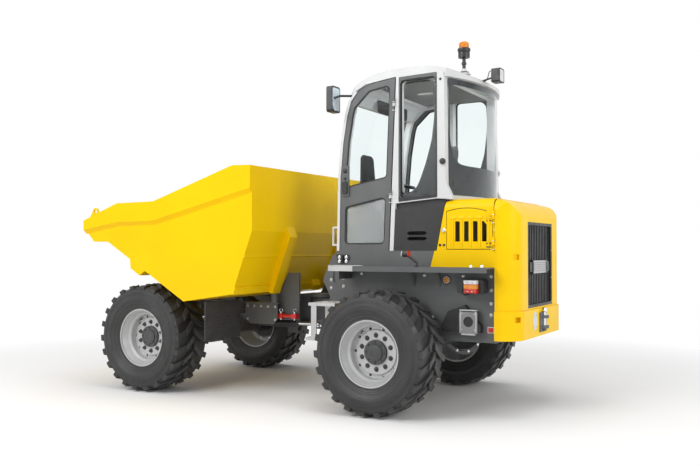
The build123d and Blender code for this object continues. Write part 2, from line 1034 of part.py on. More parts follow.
rear_post += [
    (cab_rear_sill_x, cab_sill_z + c_foot_high),
    (cab_rear_sill_x - c_foot, cab_sill_z + cab_sill),
    (cab_rear_sill_x - c_foot, cab_sill_z),
    (quarter_x1, sill_z(quarter_x1) - sill_rail),
    (b_face_sill - b_strip, sill_z(quarter_x0) - sill_rail),
    (b_face_low - b_strip, cab_low),
]
front_post = front_line(0, cab_low, cab_front[-1][1]) + front_line(a_strip, cab_low, cab_front[-1][1])[::-1]
sill_plan_y = rear_glass_y + rear_sill_proud
with BuildPart() as cab_frame:
    side_plate(cab_outline, -cab_wall_y, cab_wall_y)
    for side in (1, -1):
        y0, y1 = both(cab_wall_y, cab_half, side)
        side_plate(rear_post, y0, y1)
        side_plate(front_post, y0, y1)
    side_plate(inner_outline, -cab_inner_y, cab_inner_y, mode=Mode.SUBTRACT)
    for side in (1, -1):
        y0, y1 = both(cab_inner_y - overcut, cab_wall_y + overcut / 2, side)
        side_plate(door_hole, y0, y1, mode=Mode.SUBTRACT)
        side_plate(panel_hole, y0, y1, mode=Mode.SUBTRACT)
        y0, y1 = both(cab_inner_y - overcut, cab_half + overcut, side)
        side_plate(quarter_hole, y0, y1, mode=Mode.SUBTRACT, rounding=window_round)
    block(
        cab_front[-1][0] - cab_post,
        cab_front[0][0] + overcut,
        -cab_inner_y,
        cab_inner_y,
        opening_low + screen_sill,
        opening_high,
        mode=Mode.SUBTRACT,
    )
    block(
        cab_rear_sill_x - overcut,
        cab_rear_top_x + 2 * cab_post,
        -cab_inner_y,
        cab_inner_y,
        cab_sill_z + cab_sill,
        cab_rear_top_z - cab_post,
        mode=Mode.SUBTRACT,
    )
    block(
        cab_rear_top_x + cab_post,
        cab_top[1][0] - cab_post,
        -cab_inner_y,
        cab_inner_y,
        cab_rear_top_z - 2 * cab_post,
        cab_rear_top_z + cab_post,
        mode=Mode.SUBTRACT,
    )
    block(
        cab_back_x + cab_post,
        cab_front[0][0] - cab_post - screen_sill,
        -cab_inner_y,
        cab_inner_y,
        cab_low - overcut,
        opening_low + overcut,
        mode=Mode.SUBTRACT,
    )
    with BuildSketch(Plane.XY.offset(cab_sill_z)):
        with BuildLine():
            ThreePointArc(
                (cab_rear_sill_x, sill_plan_y),
                (rear_glass_x - rear_sill_proud, 0),
                (cab_rear_sill_x, -sill_plan_y),
            )
            Line((cab_rear_sill_x, -sill_plan_y), (cab_rear_sill_x, sill_plan_y))
        make_face()
    extrude(amount=cab_sill)
    for side in (1, -1):
        for grab_z in (grab_low, grab_high):
            start_x = front_x(grab_z) - grab_radius
            bar((start_x, side * grab_y, grab_z), (start_x + grab_out, side * grab_y, grab_z), grab_radius)
            with Locations((start_x + grab_out, side * grab_y, grab_z)):
                Sphere(grab_radius)
        bar(
            (front_x(grab_low) - grab_radius + grab_out, side * grab_y, grab_low),
            (front_x(grab_high) - grab_radius + grab_out, side * grab_y, grab_high),
            grab_radius,
        )
    for knuckle_z in (hinge_low_z, hinge_high_z):
        hinge_fixed(b_post_x, door_axis_y, knuckle_z, 1)
save(cab_frame.part, "cab_frame")

# Cab floor
with BuildPart() as cab_floor:
    block(
        cab_back_x + cab_post,
        cab_front[0][0] - cab_post - screen_sill,
        -cab_inner_y,
        cab_inner_y,
        cab_low,
        cab_low + floor_plate,
    )
save(cab_floor.part, "cab_floor")

# Cab side panels below the quarter windows, trays with vent slots
panel_gap_x = b_strip + panel_gap
panel_points = [
    (b_face_low - panel_gap_x, cab_low),
    (b_post_x(panel_front_high) - run_gap - panel_gap_x, panel_front_high),
    (panel_back_high_x, panel_rear_high),
    (panel_back_low_x, cab_low),
]
panel_core = [
    (b_face_low - panel_gap_x - panel_rim, cab_low + panel_rim),
    (b_post_x(panel_front_high) - run_gap - panel_gap_x - panel_rim, panel_front_high - panel_rim),
    (panel_back_high_x + panel_rim, panel_rear_high - 2 * panel_rim),
    (panel_back_low_x + panel_rim, cab_low + panel_rim),
]
recess_front_x = b_post_x(panel_front_high) - run_gap - panel_gap_x
panel_recess = [
    (recess_front_x, panel_front_high - panel_rim),
    (recess_front_x, quarter_front_z - sill_rail),
    (quarter_x1, quarter_rear_z - sill_rail),
    (panel_back_high_x, cab_sill_z),
    (panel_back_high_x, panel_rear_high - panel_rim),
]
with BuildPart() as cab_side_panels:
    for side in (1, -1):
        y0, y1 = both(cab_wall_y, cab_half, side)
        side_plate(panel_points, y0, y1)
        y0, y1 = both(cab_wall_y - overcut, cab_half - panel_face, side)
        side_plate(panel_core, y0, y1, mode=Mode.SUBTRACT)
        y0, y1 = both(cab_wall_y, cab_half + overcut, side)
        for vent_low in (vent_z, vent_z + vent_pitch):
            vent_points = [
                (vent_x - vent_long / 2, vent_low + vent_wide / 2),
                (vent_x - vent_long / 2 + vent_bevel, vent_low),
                (vent_x + vent_long / 2 - vent_bevel, vent_low),
                (vent_x + vent_long / 2, vent_low + vent_wide / 2),
                (vent_x + vent_long / 2 - vent_bevel, vent_low + vent_wide),
                (vent_x - vent_long / 2 + vent_bevel, vent_low + vent_wide),
            ]
            side_plate(vent_points, y0, y1, mode=Mode.SUBTRACT)
        y0, y1 = both(cab_wall_y, cab_wall_y + panel_face, side)
        side_plate(panel_recess, y0, y1)
    add(cab_frame.part, mode=Mode.SUBTRACT)
save(cab_side_panels.part, "cab_side_panels")

# Door and the fixed right side frame share one outline
door_rear_top_x = b_post_x(cab_rear_top_z) + run_gap
door_outline = front_line(door_edge, door_bottom_z + panel_gap, door_top_z)
door_outline += top_line(door_top_drop + door_edge / 2, cab_front[-1][0] - door_edge, cab_top[1][0] - door_edge)
door_outline += top_line(door_top_drop, cab_top[1][0] - 2 * door_edge, door_rear_top_x)
door_outline += [(b_post_x(door_bottom_z) + run_gap, door_bottom_z + panel_gap)]


def door_rear(z):
    return b_post_x(z) + run_gap + door_rail


upper_rear_top = top_z(door_rear(cab_rear_top_z)) - door_top_drop - upper_top_drop
door_upper_hole = front_line(door_edge + door_rail, upper_front_z, upper_top_z)
door_upper_hole += [
    (cab_top[1][0] - door_edge, top_z(cab_top[1][0]) - door_top_drop - upper_top_drop),
    (door_rear(upper_rear_top), upper_rear_top),
    (door_rear(upper_rear_z), upper_rear_z),
]
door_lower_hole = front_line(door_edge + door_rail, lower_bottom_z, lower_front_z)
door_lower_hole += [(door_rear(lower_rear_z), lower_rear_z), (door_rear(lower_bottom_z), lower_bottom_z)]
door_holes = (door_upper_hole, door_lower_hole)
for frame_name, side in (("door_frame", 1), ("side_frame_right", -1)):
    inner = door_y - door_thick if side > 0 else cab_wall_y
    with BuildPart() as door:
        y0, y1 = both(inner, door_y, side)
        side_plate(door_outline, y0, y1)
        y0, y1 = both(inner - overcut, door_y + overcut, side)
        for window in door_holes:
            side_plate(window, y0, y1, mode=Mode.SUBTRACT, rounding=window_round)
        if side > 0:
            handle_points = [
                (handle_x0, handle_low),
                (handle_x0, handle_high),
                (handle_x1, handle_high),
                (handle_x1, handle_low),
            ]
            side_plate(handle_points, door_y, door_y + handle_proud, rounding=handle_round)
            for knuckle_z in (hinge_low_z, hinge_high_z):
                hinge_moving(b_post_x, door_axis_y, knuckle_z, 1)
    save(door.part, frame_name)
with BuildPart() as door_glass:
    for window in door_holes:
        side_plate(window, door_y - glass_in - glass, door_y - glass_in, rounding=window_round)
save(door_glass.part, "door_glass")

# Fixed cab glass
screen = front_line(glass_in, opening_low + screen_sill, opening_high)
screen_back = front_line(glass_in + glass, opening_low + screen_sill, opening_high)
rear_edge_x = cab_rear_sill_x - run_gap
with BuildPart() as cab_glass:
    side_plate(screen + screen_back[::-1], -cab_inner_y, cab_inner_y)
    for side in (1, -1):
        y0, y1 = both(cab_half - glass_in - glass, cab_half - glass_in, side)
        side_plate(quarter_hole, y0, y1, rounding=window_round)
    for window in door_holes:
        side_plate(window, -cab_half + glass_in, -cab_half + glass_in + glass, rounding=window_round)
    with BuildSketch(Plane.XY.offset(cab_sill_z + cab_sill)):
        with BuildLine():
            ThreePointArc((rear_edge_x, rear_glass_y), (rear_glass_x, 0), (rear_edge_x, -rear_glass_y))
            Line((rear_edge_x, -rear_glass_y), (rear_edge_x, -rear_glass_y + glass))
            ThreePointArc(
                (rear_edge_x, -rear_glass_y + glass),
                (rear_glass_x + glass, 0),
                (rear_edge_x, rear_glass_y - glass),
            )
            Line((rear_edge_x, rear_glass_y - glass), (rear_edge_x, rear_glass_y))
        make_face()
    extrude(amount=roof_skirt_z - cab_sill_z - cab_sill)
save(cab_glass.part, "cab_glass")

# Roof, a cambered cap with a curved rear edge
with BuildPart() as cab_roof:
    with BuildSketch(Plane.XZ.offset(-cab_half)):
        with BuildLine():
            Spline(*roof_points)
            Polyline(
                roof_points[-1],
                (roof_back_x, roof_skirt_z),
                (cab_rear_top_x - run_gap, roof_skirt_z),
                (cab_rear_top_x - run_gap, cab_rear_top_z),
                *cab_top[::-1],
                roof_points[0],
            )
        make_face()
    extrude(amount=2 * cab_half)
    with BuildSketch(Plane.XY.offset(cab_low)):
        with BuildLine():
            roof_corner_x = cab_rear_top_x - roof_side_in
            ThreePointArc((roof_corner_x, cab_half), (roof_back_x, 0), (roof_corner_x, -cab_half))
            Polyline(
                (roof_corner_x, -cab_half),
                (cab_front[-1][0], -cab_half),
                (cab_front[0][0], -cab_half + roof_corner),
                (cab_front[0][0], cab_half - roof_corner),
                (cab_front[-1][0], cab_half),
                (roof_corner_x, cab_half),
            )
        make_face()
    extrude(amount=cab_rear_top_z, mode=Mode.INTERSECT)
    add(cab_frame.part, mode=Mode.SUBTRACT)
save(cab_roof.part, "cab_roof")

# Seat on its base
with BuildPart() as seat_base:
    block(
        seat_x0 + seat_base_end,
        seat_x1 - seat_base_end,
        -seat_half + seat_base_in,
        seat_half - seat_base_in,
        cab_low + floor_plate,
        seat_base_z,
    )
save(seat_base.part, "seat_base")
seat_back = [
    (seat_x0, seat_pan_z),
    (seat_x0 + seat_back_low, seat_pan_z),
    (seat_x0 + seat_back_top - seat_back_lean, seat_back_z),
    (seat_x0 - seat_back_lean, seat_back_z),
]
with BuildPart() as seat:
    block(seat_x0, seat_x1, -seat_half, seat_half, seat_base_z, seat_pan_z)
    fillet(seat.edges().filter_by(Axis.Z).group_by(Axis.X)[-1], seat_round)
    side_plate(seat_back, -seat_half + seat_back_in, seat_half - seat_back_in)
    fillet(seat.edges().filter_by(Axis.X).group_by(Axis.Z)[-1], seat_round)
save(seat.part, "seat")

# Steering wheel on its tilted column
with BuildPart() as steering_wheel:
    with BuildSketch(Plane.XZ):
        with Locations((wheel_radius, 0)):
            Circle(wheel_rim)
    revolve(axis=Axis.Z)
    with Locations((0, 0, -wheel_hub_high / 4)):
        Cylinder(wheel_hub, wheel_hub_high)
    with PolarLocations(wheel_radius / 2, wheel_spokes):
        Box(wheel_radius, wheel_spoke, wheel_spoke_high)
wheel_tilt = degrees(atan2(column_x - wheel_x, wheel_z - column_z))
placed_wheel = Pos(wheel_x, 0, wheel_z) * Rot(0, -wheel_tilt, 0) * steering_wheel.part
save(placed_wheel, "steering_wheel")

# Dash, column pod and side console
dash_floor = cab_low + floor_plate
with BuildPart() as dash_console:
    block(dash_x0, dash_x1, -dash_half, dash_half, dash_floor, dash_high)
    fillet(dash_console.edges().filter_by(Axis.Y).group_by(Axis.Z)[-1], dash_round)
    block(pod_x0, dash_x0, -pod_half, pod_half, dash_floor, pod_high)
    bar((column_x, 0, column_z), (wheel_x, 0, wheel_z - wheel_hub_high / 2), column_radius)
    add(placed_wheel, mode=Mode.SUBTRACT)
    block(arm_x0, arm_x1, -arm_y1, -arm_y0, dash_floor, arm_high)
save(dash_console.part, "dash_console")

# Hood, side profile crossed with a rounded front view, open in front and below
hood_front_low = (panel_back_low_x - panel_gap, cab_low)
hood_front_high = (panel_back_high_x - panel_gap, panel_rear_high)
hood_profile = [
    hood_front_low,
    hood_front_high,
    (hood_top_x, hood_high),
    (hood_back_x, hood_high),
    (hood_back_x, cab_low),
]
hood_core_profile = [
    (hood_front_low[0] + overcut, cab_low - overcut),
    (hood_front_low[0] + overcut, panel_rear_high - hood_wall),
    (hood_front_high[0], panel_rear_high - hood_wall),
    (hood_top_x, hood_high - hood_wall),
    (hood_back_x - overcut, hood_high - hood_wall),
    (hood_back_x - overcut, cab_low - overcut),
]


def rounded_front(half, low, high, rounding, x_start, length):
    with BuildSketch(Plane.YZ.offset(x_start)) as flat:
        with BuildLine():
            Polyline((-half, low), (-half, high), (half, high), (half, low), close=True)
        make_face()
        fillet(flat.vertices().group_by(Axis.Y)[-1], rounding)
    extrude(flat.sketch, amount=length, mode=Mode.INTERSECT)


hood_span = hood_front_low[0] - hood_back_x + 2 * panel_gap
with BuildPart() as hood_body:
    side_plate(hood_profile, -cab_half, cab_half)
    rounded_front(cab_half, cab_low, hood_high, hood_round, hood_back_x - panel_gap, hood_span)
with BuildPart() as hood_core:
    side_plate(hood_core_profile, -cab_half, cab_half)
    rounded_front(
        cab_half - hood_wall,
        cab_low - overcut,
        hood_high - hood_wall,
        hood_round - hood_wall,
        hood_back_x - panel_gap,
        hood_span,
    )


def louvre_shape(gap, y0, y1, mode=Mode.ADD):
    front = louvre_front_x + gap
    back = louvre_back_x - gap
    with BuildSketch(Plane.XZ.offset(-max(y0, y1))) as flat:
        with BuildLine():
            Spline(
                (front, louvre_front_high + gap),
                ((front + back) / 2, louvre_mid_high + gap),
                (back, louvre_back_high + gap),
            )
            Polyline(
                (back, louvre_back_high + gap),
                (back, louvre_low - gap),
                (front, louvre_low - gap),
                (front, louvre_front_high + gap),
            )
        make_face()
    extrude(flat.sketch, amount=abs(y1 - y0), mode=mode)


with BuildPart() as hood_shell:
    add(hood_body.part)
    add(hood_core.part, mode=Mode.SUBTRACT)
    for side in (1, -1):
        y0, y1 = both(cab_half - 2 * hood_wall, cab_half + overcut, side)
        louvre_shape(panel_gap, y0, y1, mode=Mode.SUBTRACT)
        for knuckle_z in (louvre_hinge_low, louvre_hinge_high):
            hinge_fixed(louvre_axis, louvre_axis_y, knuckle_z, side)
save(hood_shell.part, "hood_shell")

# Louvre doors with arched tops, slots and pressed ribs between them
for door_name, side in (("louvre_door_left", 1), ("louvre_door_right", -1)):
    with BuildPart() as louvre_door:
        y0, y1 = both(cab_half - hood_wall, cab_half, side)
        louvre_shape(0, y0, y1)
        for slot in range(louvre_slots + 1):
            rib_x = louvre_slot_first_x + (0.5 - slot) * louvre_slot_pitch
            rib_y0, rib_y1 = both(cab_half, cab_half + louvre_rib_proud, side)
            rib_points = [
                (rib_x - louvre_rib / 2, louvre_low + louvre_rib_in),
                (rib_x + louvre_rib / 2, louvre_low + louvre_rib_in),
                (rib_x + louvre_rib / 2, louvre_rib_high - louvre_rib),
                (rib_x - louvre_rib / 2, louvre_rib_high),
            ]
            side_plate(rib_points, rib_y0, rib_y1)
        for slot in range(louvre_slots):
            slot_x = louvre_slot_first_x - slot * louvre_slot_pitch
            corner = louvre_slot_cut if slot == louvre_slots - 1 else louvre_slot_round
            slot_points = [
                (slot_x - louvre_slot_wide / 2, louvre_slot_low),
                (slot_x - louvre_slot_wide / 2, louvre_slot_high - corner),
                (slot_x - louvre_slot_wide / 2 + corner, louvre_slot_high),
                (slot_x + louvre_slot_wide / 2, louvre_slot_high),
                (slot_x + louvre_slot_wide / 2, louvre_slot_low),
            ]
            side_plate(slot_points, y0 - overcut, y1 + overcut, mode=Mode.SUBTRACT)
        for knuckle_z in (louvre_hinge_low, louvre_hinge_high):
            hinge_moving(louvre_axis, louvre_axis_y, knuckle_z, side)
    save(louvre_door.part, door_name)


# Tail cover, side profile crossed with a rounded plan and a rounded rear view
def tail_form(wall, low, front):
    top = [
        (front, tail_high - wall),
        (tail_mid_x + wall / 2, tail_mid_high - wall),
        (tail_back_x + wall, tail_back_high - wall / 2),
    ]
    with BuildSketch(Plane.XZ.offset(-cab_half)) as profile:
        with BuildLine():
            Spline(*top)
            Polyline(top[-1], (tail_back_x + wall, low), (front, low), top[0])
        make_face()
    extrude(profile.sketch, amount=2 * cab_half)
    with BuildSketch(Plane.XY.offset(low)) as plan:
        with BuildLine():
            Polyline(
                (front, -cab_half + wall),
                (front, cab_half - wall),
                (tail_back_x + wall, cab_half - wall),
                (tail_back_x + wall, -cab_half + wall),
                close=True,
            )
        make_face()
        fillet(plan.vertices().group_by(Axis.X)[0], tail_corner - wall)
    extrude(plan.sketch, amount=tail_high, mode=Mode.INTERSECT)
    rounded_front(
        cab_half - wall,
        low,
        tail_high - wall + 2 * overcut,
        tail_shoulder - wall,
        tail_back_x - wall,
        cab_half,
    )


with BuildPart() as tail_body:
    tail_form(0, tail_low, tail_front_x)
with BuildPart() as tail_core:
    tail_form(tail_wall, tail_low - overcut, tail_front_x + overcut)
pocket_turn = radians(pocket_angle)
with BuildPart() as tail_cover:
    add(tail_body.part)
    with BuildSketch(Plane.XY.offset(tail_low)) as bumper_plan:
        with BuildLine():
            Polyline(
                (tail_front_x, -cab_half - bumper_proud),
                (tail_front_x, cab_half + bumper_proud),
                (tail_back_x - bumper_proud, cab_half + bumper_proud),
                (tail_back_x - bumper_proud, -cab_half - bumper_proud),
                close=True,
            )
        make_face()
        fillet(bumper_plan.vertices().group_by(Axis.X)[0], tail_corner + bumper_proud)
    extrude(amount=bumper_high - tail_low)
    add(tail_core.part, mode=Mode.SUBTRACT)
    for side in (1, -1):
        for pocket_z in pocket_low:
            corner_at = Vector(tail_back_x + tail_corner, side * (cab_half - tail_corner), pocket_z + pocket_high / 2)
            out = Vector(-cos(pocket_turn), side * sin(pocket_turn), 0)
            pad_at = corner_at + out * (tail_corner - pocket_deep - pocket_wall)
            with BuildSketch(Plane(origin=pad_at, x_dir=(0, 0, 1), z_dir=out)):
                Rectangle(pocket_high + 2 * pocket_wall, pocket_wide + 2 * pocket_wall)
            extrude(amount=pocket_deep + pocket_wall / 2)
            with BuildSketch(Plane(origin=pad_at + out * pocket_wall, x_dir=(0, 0, 1), z_dir=out)):
                Rectangle(pocket_high, pocket_wide)
            extrude(amount=pocket_deep + 2 * bumper_proud, mode=Mode.SUBTRACT)
    block(
        tail_back_x - overcut,
        tail_back_x + tail_corner,
        -grille_half,
        grille_half,
        grille_low,
        grille_high,
        mode=Mode.SUBTRACT,
    )
save(tail_cover.part, "tail_cover")

# Grille, a frame with a backing plate, deep vertical slats and a centre plate
with BuildPart() as grille:
    block(
        tail_back_x + tail_wall / 2,
        tail_back_x + grille_back,
        -grille_half,
        grille_half,
        grille_low,
        grille_high,
    )
    block(
        tail_back_x,
        tail_back_x + grille_back - tail_wall,
        -grille_half + grille_frame,
        grille_half - grille_frame,
        grille_low + grille_frame,
        grille_high - grille_frame,
        mode=Mode.SUBTRACT,
    )
    slat_span = 2 * (grille_half - grille_frame)
    for slat in range(grille_slats):
        slat_y = -grille_half + grille_frame + slat_span * (slat + 0.5) / grille_slats
        block(
            tail_back_x + grille_rear_in,
            tail_back_x + grille_back,
            slat_y - grille_slat / 2,
            slat_y + grille_slat / 2,
            grille_low + grille_frame / 2,
            grille_high - grille_frame / 2,
        )
    block(
        tail_back_x + tail_wall,
        tail_back_x + grille_back,
        -grille_plate_half,
        grille_plate_half,
        grille_plate_low,
        grille_plate_high,
    )
save(grille.part, "grille")

# Tow jaw with its ball-headed pin
jaw_face_x = tail_back_x - bumper_proud
with BuildPart() as tow_hitch:
    for z0 in (jaw_low, jaw_high - jaw_plate):
        block(jaw_back_x + jaw_half, jaw_face_x, -jaw_half, jaw_half, z0, z0 + jaw_plate)
        round_z(jaw_back_x + jaw_half, 0, jaw_half, z0, z0 + jaw_plate)
    block(
        jaw_face_x - jaw_flange_plate,
        jaw_face_x,
        -jaw_flange,
        jaw_flange,
        jaw_low - jaw_flange_over,
        jaw_high + jaw_flange_over,
    )
    round_z(jaw_pin_x, 0, jaw_pin_radius, jaw_low - jaw_pin_under, jaw_high + jaw_pin_over)
    with Locations((jaw_pin_x, 0, jaw_high + jaw_pin_over)):
        Sphere(jaw_ball)
    add(tail_cover.part, mode=Mode.SUBTRACT)
    block(
        tail_back_x,
        tail_back_x + jaw_half,
        -jaw_half,
        jaw_half,
        jaw_low,
        jaw_high,
        mode=Mode.SUBTRACT,
    )
save(tow_hitch.part, "tow_hitch")

# Tail lamps and the black lamp brackets
lamp_mid_z = (lamp_low + lamp_high) / 2
lens_mid_x = (lamp_lens_x0 + lamp_lens_x1) / 2
with BuildPart() as tail_lamps:
    for side in (1, -1):
        with BuildSketch(Plane.XZ.offset(-side * lamp_y1)) as lens_face:
            with Locations((lens_mid_x, lamp_mid_z)):
                RectangleRounded(lamp_lens_x1 - lamp_lens_x0, lamp_high - lamp_low - lamp_round, lamp_round)
        extrude(lens_face.sketch, amount=-side * (lamp_lens_y - lamp_y1))
save(tail_lamps.part, "tail_lamps")
marker_y = (marker_y0 + marker_y1) / 2
marker_foot_y = ledge_y - marker_base / 2
work_mid_z = (work_low + work_high) / 2
work_mid_x = (work_x0 + work_x1) / 2
with BuildPart() as lamp_brackets:
    for side in (1, -1):
        with BuildSketch(Plane.XZ.offset(-side * chassis_face)) as bracket_face:
            with Locations(((lamp_x0 + lamp_x1) / 2, lamp_mid_z)):
                RectangleRounded(lamp_x1 - lamp_x0, lamp_high - lamp_low, lamp_round)
        extrude(bracket_face.sketch, amount=-side * (lamp_y1 - chassis_face))
        round_z(marker_foot_x, side * marker_foot_y, marker_base / 2, ledge_high, ledge_high + marker_arm)
        elbow = (marker_foot_x, side * marker_foot_y, ledge_high + marker_base)
        lamp_at = (marker_x, side * marker_y, marker_z)
        bar((marker_foot_x, side * marker_foot_y, ledge_high), elbow, marker_arm)
        with Locations(elbow):
            Sphere(marker_arm)
        bar(elbow, lamp_at, marker_arm)
        bar(
            (marker_x - marker_half, side * marker_y, marker_z),
            (marker_x + marker_half, side * marker_y, marker_z),
            marker_radius,
        )
    with BuildSketch(Plane.YZ.offset(work_x0)) as work_face:
        with Locations((work_y, work_mid_z)):
            RectangleRounded(2 * work_half, work_high - work_low, work_round)
    extrude(work_face.sketch, amount=work_x1 - work_x0)
    bar((work_mid_x, work_y, work_mid_z), (roof_back_x + roof_corner, work_y, roof_skirt_z + roof_side_in), work_arm)
    add(cab_roof.part, mode=Mode.SUBTRACT)
    add(cab_glass.part, mode=Mode.SUBTRACT)
save(lamp_brackets.part, "lamp_brackets")

# Wheel chock on a shelf with a holed plate
chock_points = [
    (chock_x0, chock_low),
    (chock_x0, chock_low + chock_toe),
    (chock_x0 + chock_crown, chock_high),
    (chock_x1 - chock_toe, chock_high - chock_toe),
    (chock_x1, chock_low + chock_toe),
    (chock_x1, chock_low),
]
with BuildPart() as wheel_chock:
    side_plate(chock_points, chassis_face, chassis_face + chock_deep)
save(wheel_chock.part, "wheel_chock")
holder_y = chassis_face + chock_deep
holder_mid_x = (holder_x0 + holder_x1) / 2
with BuildPart() as chock_holder:
    block(holder_x0, holder_x1, chassis_face, holder_y + holder_plate, chock_low - holder_plate, chock_low)
    with BuildSketch(Plane.XZ.offset(-holder_y - holder_plate)) as holder_face:
        with Locations((holder_mid_x, chock_low - holder_plate + holder_high / 2)):
            RectangleRounded(holder_x1 - holder_x0, holder_high, holder_band / 2)
        with Locations((holder_mid_x, chock_low + holder_high / 2)):
            Circle(holder_hole, mode=Mode.SUBTRACT)
    extrude(holder_face.sketch, amount=holder_plate)
save(chock_holder.part, "chock_holder")

# Beacon dome on its stand
with BuildPart() as beacon_stand:
    round_z(beacon_x, beacon_y, beacon_foot / 2, cab_rear_top_z, roof_points[-2][1] + beacon_foot_over)
    round_z(beacon_x, beacon_y, beacon_stem, cab_rear_top_z, beacon_cup_low)
    round_z(beacon_x, beacon_y, beacon_cup, beacon_cup_low, beacon_low)
    add(cab_roof.part, mode=Mode.SUBTRACT)
save(beacon_stand.part, "beacon_stand")
with BuildPart() as beacon:
    round_z(beacon_x, beacon_y, beacon_radius, beacon_low, beacon_high)
    fillet(beacon.edges().group_by(Axis.Z)[-1], beacon_round)
save(beacon.part, "beacon")

# Mirrors on arms
with BuildPart() as mirrors:
    for side in (1, -1):
        mirror_mid_y = side * (mirror_y0 + mirror_y1) / 2
        with BuildSketch(Plane.YZ.offset(mirror_x)) as mirror_face:
            with Locations((mirror_mid_y, (mirror_low + mirror_high) / 2)):
                RectangleRounded(mirror_y1 - mirror_y0, mirror_high - mirror_low, mirror_round)
        extrude(mirror_face.sketch, amount=mirror_deep)
        bar(
            (mirror_arm_x, side * cab_wall_y, mirror_arm_z),
            (mirror_x + mirror_deep / 2, side * (mirror_y0 + mirror_round), mirror_arm_z),
            mirror_arm,
        )
    add(cab_roof.part, mode=Mode.SUBTRACT)
    add(cab_frame.part, mode=Mode.SUBTRACT)
    add(cab_glass.part, mode=Mode.SUBTRACT)
save(mirrors.part, "mirrors")

# Front chassis with yoke, rails, tall rear plates and side aprons
rail_points = [
    (tall_back_x, cross_low),
    (tall_back_x, tall_high),
    (tall_top_x, tall_high),
    (tall_foot_x, rail_high),
    (rail_front_x, rail_high),
    (rail_front_x, rail_low + rail_nose_drop),
    (rail_front_x - rail_nose, rail_low),
    (tall_foot_x, rail_low),
    (tall_low_x, cross_low),
]
yoke_low = nose_low - yoke_gap - yoke_plate
yoke_high = nose_high + yoke_gap
rib_foot_z = skip_floor[2][1] - rear_rib_deep * (skip_floor[2][0] - skip_floor[1][0]) / hypot(
    skip_floor[2][0] - skip_floor[1][0], skip_floor[2][1] - skip_floor[1][1]
)
with BuildPart() as front_chassis:
    for side in (1, -1):
        y0, y1 = both(rail_y0, rail_y1, side)
        side_plate(rail_points, y0, y1)
        y0, y1 = both(tip_ear_y0, rail_y0, side)
        block(tip_x - tip_ear_radius, tip_x + tip_ear_radius, y0, y1, rail_high - tip_ear_drop, rail_high)
        y0, y1 = both(tip_ear_y0, tip_ear_y1, side)
        block(tip_x - tip_ear_radius, tip_x + tip_ear_radius, y0, y1, rail_high - tip_ear_drop, tip_z)
        round_y(tip_x, tip_z, tip_ear_radius, y0, y1)
        round_y(tip_x, tip_z, tip_pin_radius, y0 - overcut, y1 + overcut, mode=Mode.SUBTRACT)
        y0, y1 = both(rail_y1, apron_y, side)
        block(apron_x0, apron_x1, y0, y1, apron_high - apron, apron_high)
        y0, y1 = both(apron_y - apron, apron_y, side)
        apron_points = [
            (apron_x0, apron_high),
            (apron_x1, apron_high),
            (apron_x1, apron_low + apron_cut),
            (apron_x1 - apron_cut, apron_low),
            (apron_x0 + apron_cut, apron_low),
            (apron_x0, apron_low + apron_cut),
        ]
        side_plate(apron_points, y0, y1)
        y0, y1 = both(rail_y1, apron_y, side)
        block(apron_x1 - apron, apron_x1, y0, y1, rail_low, apron_high)
        round_z(buffer_x, side * buffer_y, buffer_radius, apron_high, rib_foot_z - run_gap)
    block(yoke_front_x - bulkhead, yoke_front_x, -rail_y0, rail_y0, rail_low, rail_high)
    for z0 in (yoke_low, yoke_high):
        block(pivot_x, yoke_front_x, -yoke_radius, yoke_radius, z0, z0 + yoke_plate)
        round_z(pivot_x, 0, yoke_radius, z0, z0 + yoke_plate)
    block(yoke_front_x - bulkhead, yoke_front_x, -yoke_radius, yoke_radius, yoke_low, yoke_high + yoke_plate)
    round_z(pivot_x, 0, steer_pin_radius, yoke_low, yoke_high + yoke_plate)
    block(rail_front_x - bulkhead, rail_front_x, -rail_y0, rail_y0, rail_low + rail_nose_drop, rail_high)
    base_back_x = tip_base_x - tip_base_back
    block(base_back_x, base_back_x + tip_base_plate, -rail_y0, rail_y0, rail_low, rail_high)
    for side in (1, -1):
        y0, y1 = both(tip_lug_y0, tip_lug_y1, side)
        block(
            base_back_x,
            tip_base_x + tip_base_front,
            y0,
            y1,
            tip_base_z - tip_base_drop,
            rail_low + rail_nose_drop,
        )
    round_y(tip_base_x, tip_base_z, tip_lug_pin, -tip_lug_y1, tip_lug_y1)
    for side in (1, -1):
        y0, y1 = both(steer_front_y - steer_pad_in, rail_y1, side)
        lug_low = steer_z + steer_eye_half + run_gap
        block(steer_front_x - steer_pad, steer_front_x + steer_pad, y0, y1, lug_low, rail_low)
        round_z(steer_front_x, side * steer_front_y, steer_lug_pin, steer_z - steer_eye_half, lug_low)
save(front_chassis.part, "front_chassis")

# Head lamps on the front crossmember
with BuildPart() as head_lamps:
    for side in (1, -1):
        lamp_back = (rail_front_x, side * head_lamp_y, head_lamp_z)
        lamp_front = (rail_front_x + head_lamp_deep, side * head_lamp_y, head_lamp_z)
        ring_front = (rail_front_x + head_lamp_deep + head_lamp_ring, side * head_lamp_y, head_lamp_z)
        bar(lamp_back, lamp_front, head_lamp_radius)
        bar(lamp_back, ring_front, head_lamp_radius - head_lamp_ring)
save(head_lamps.part, "head_lamps")

# Tip pins
with BuildPart() as tip_pins:
    for side in (1, -1):
        y0, y1 = both(tip_skip_y0 - tip_pin_in, tip_ear_y1 + tip_pin_out, side)
        round_y(tip_x, tip_z, tip_pin_radius, y0, y1)
save(tip_pins.part, "tip_pins")

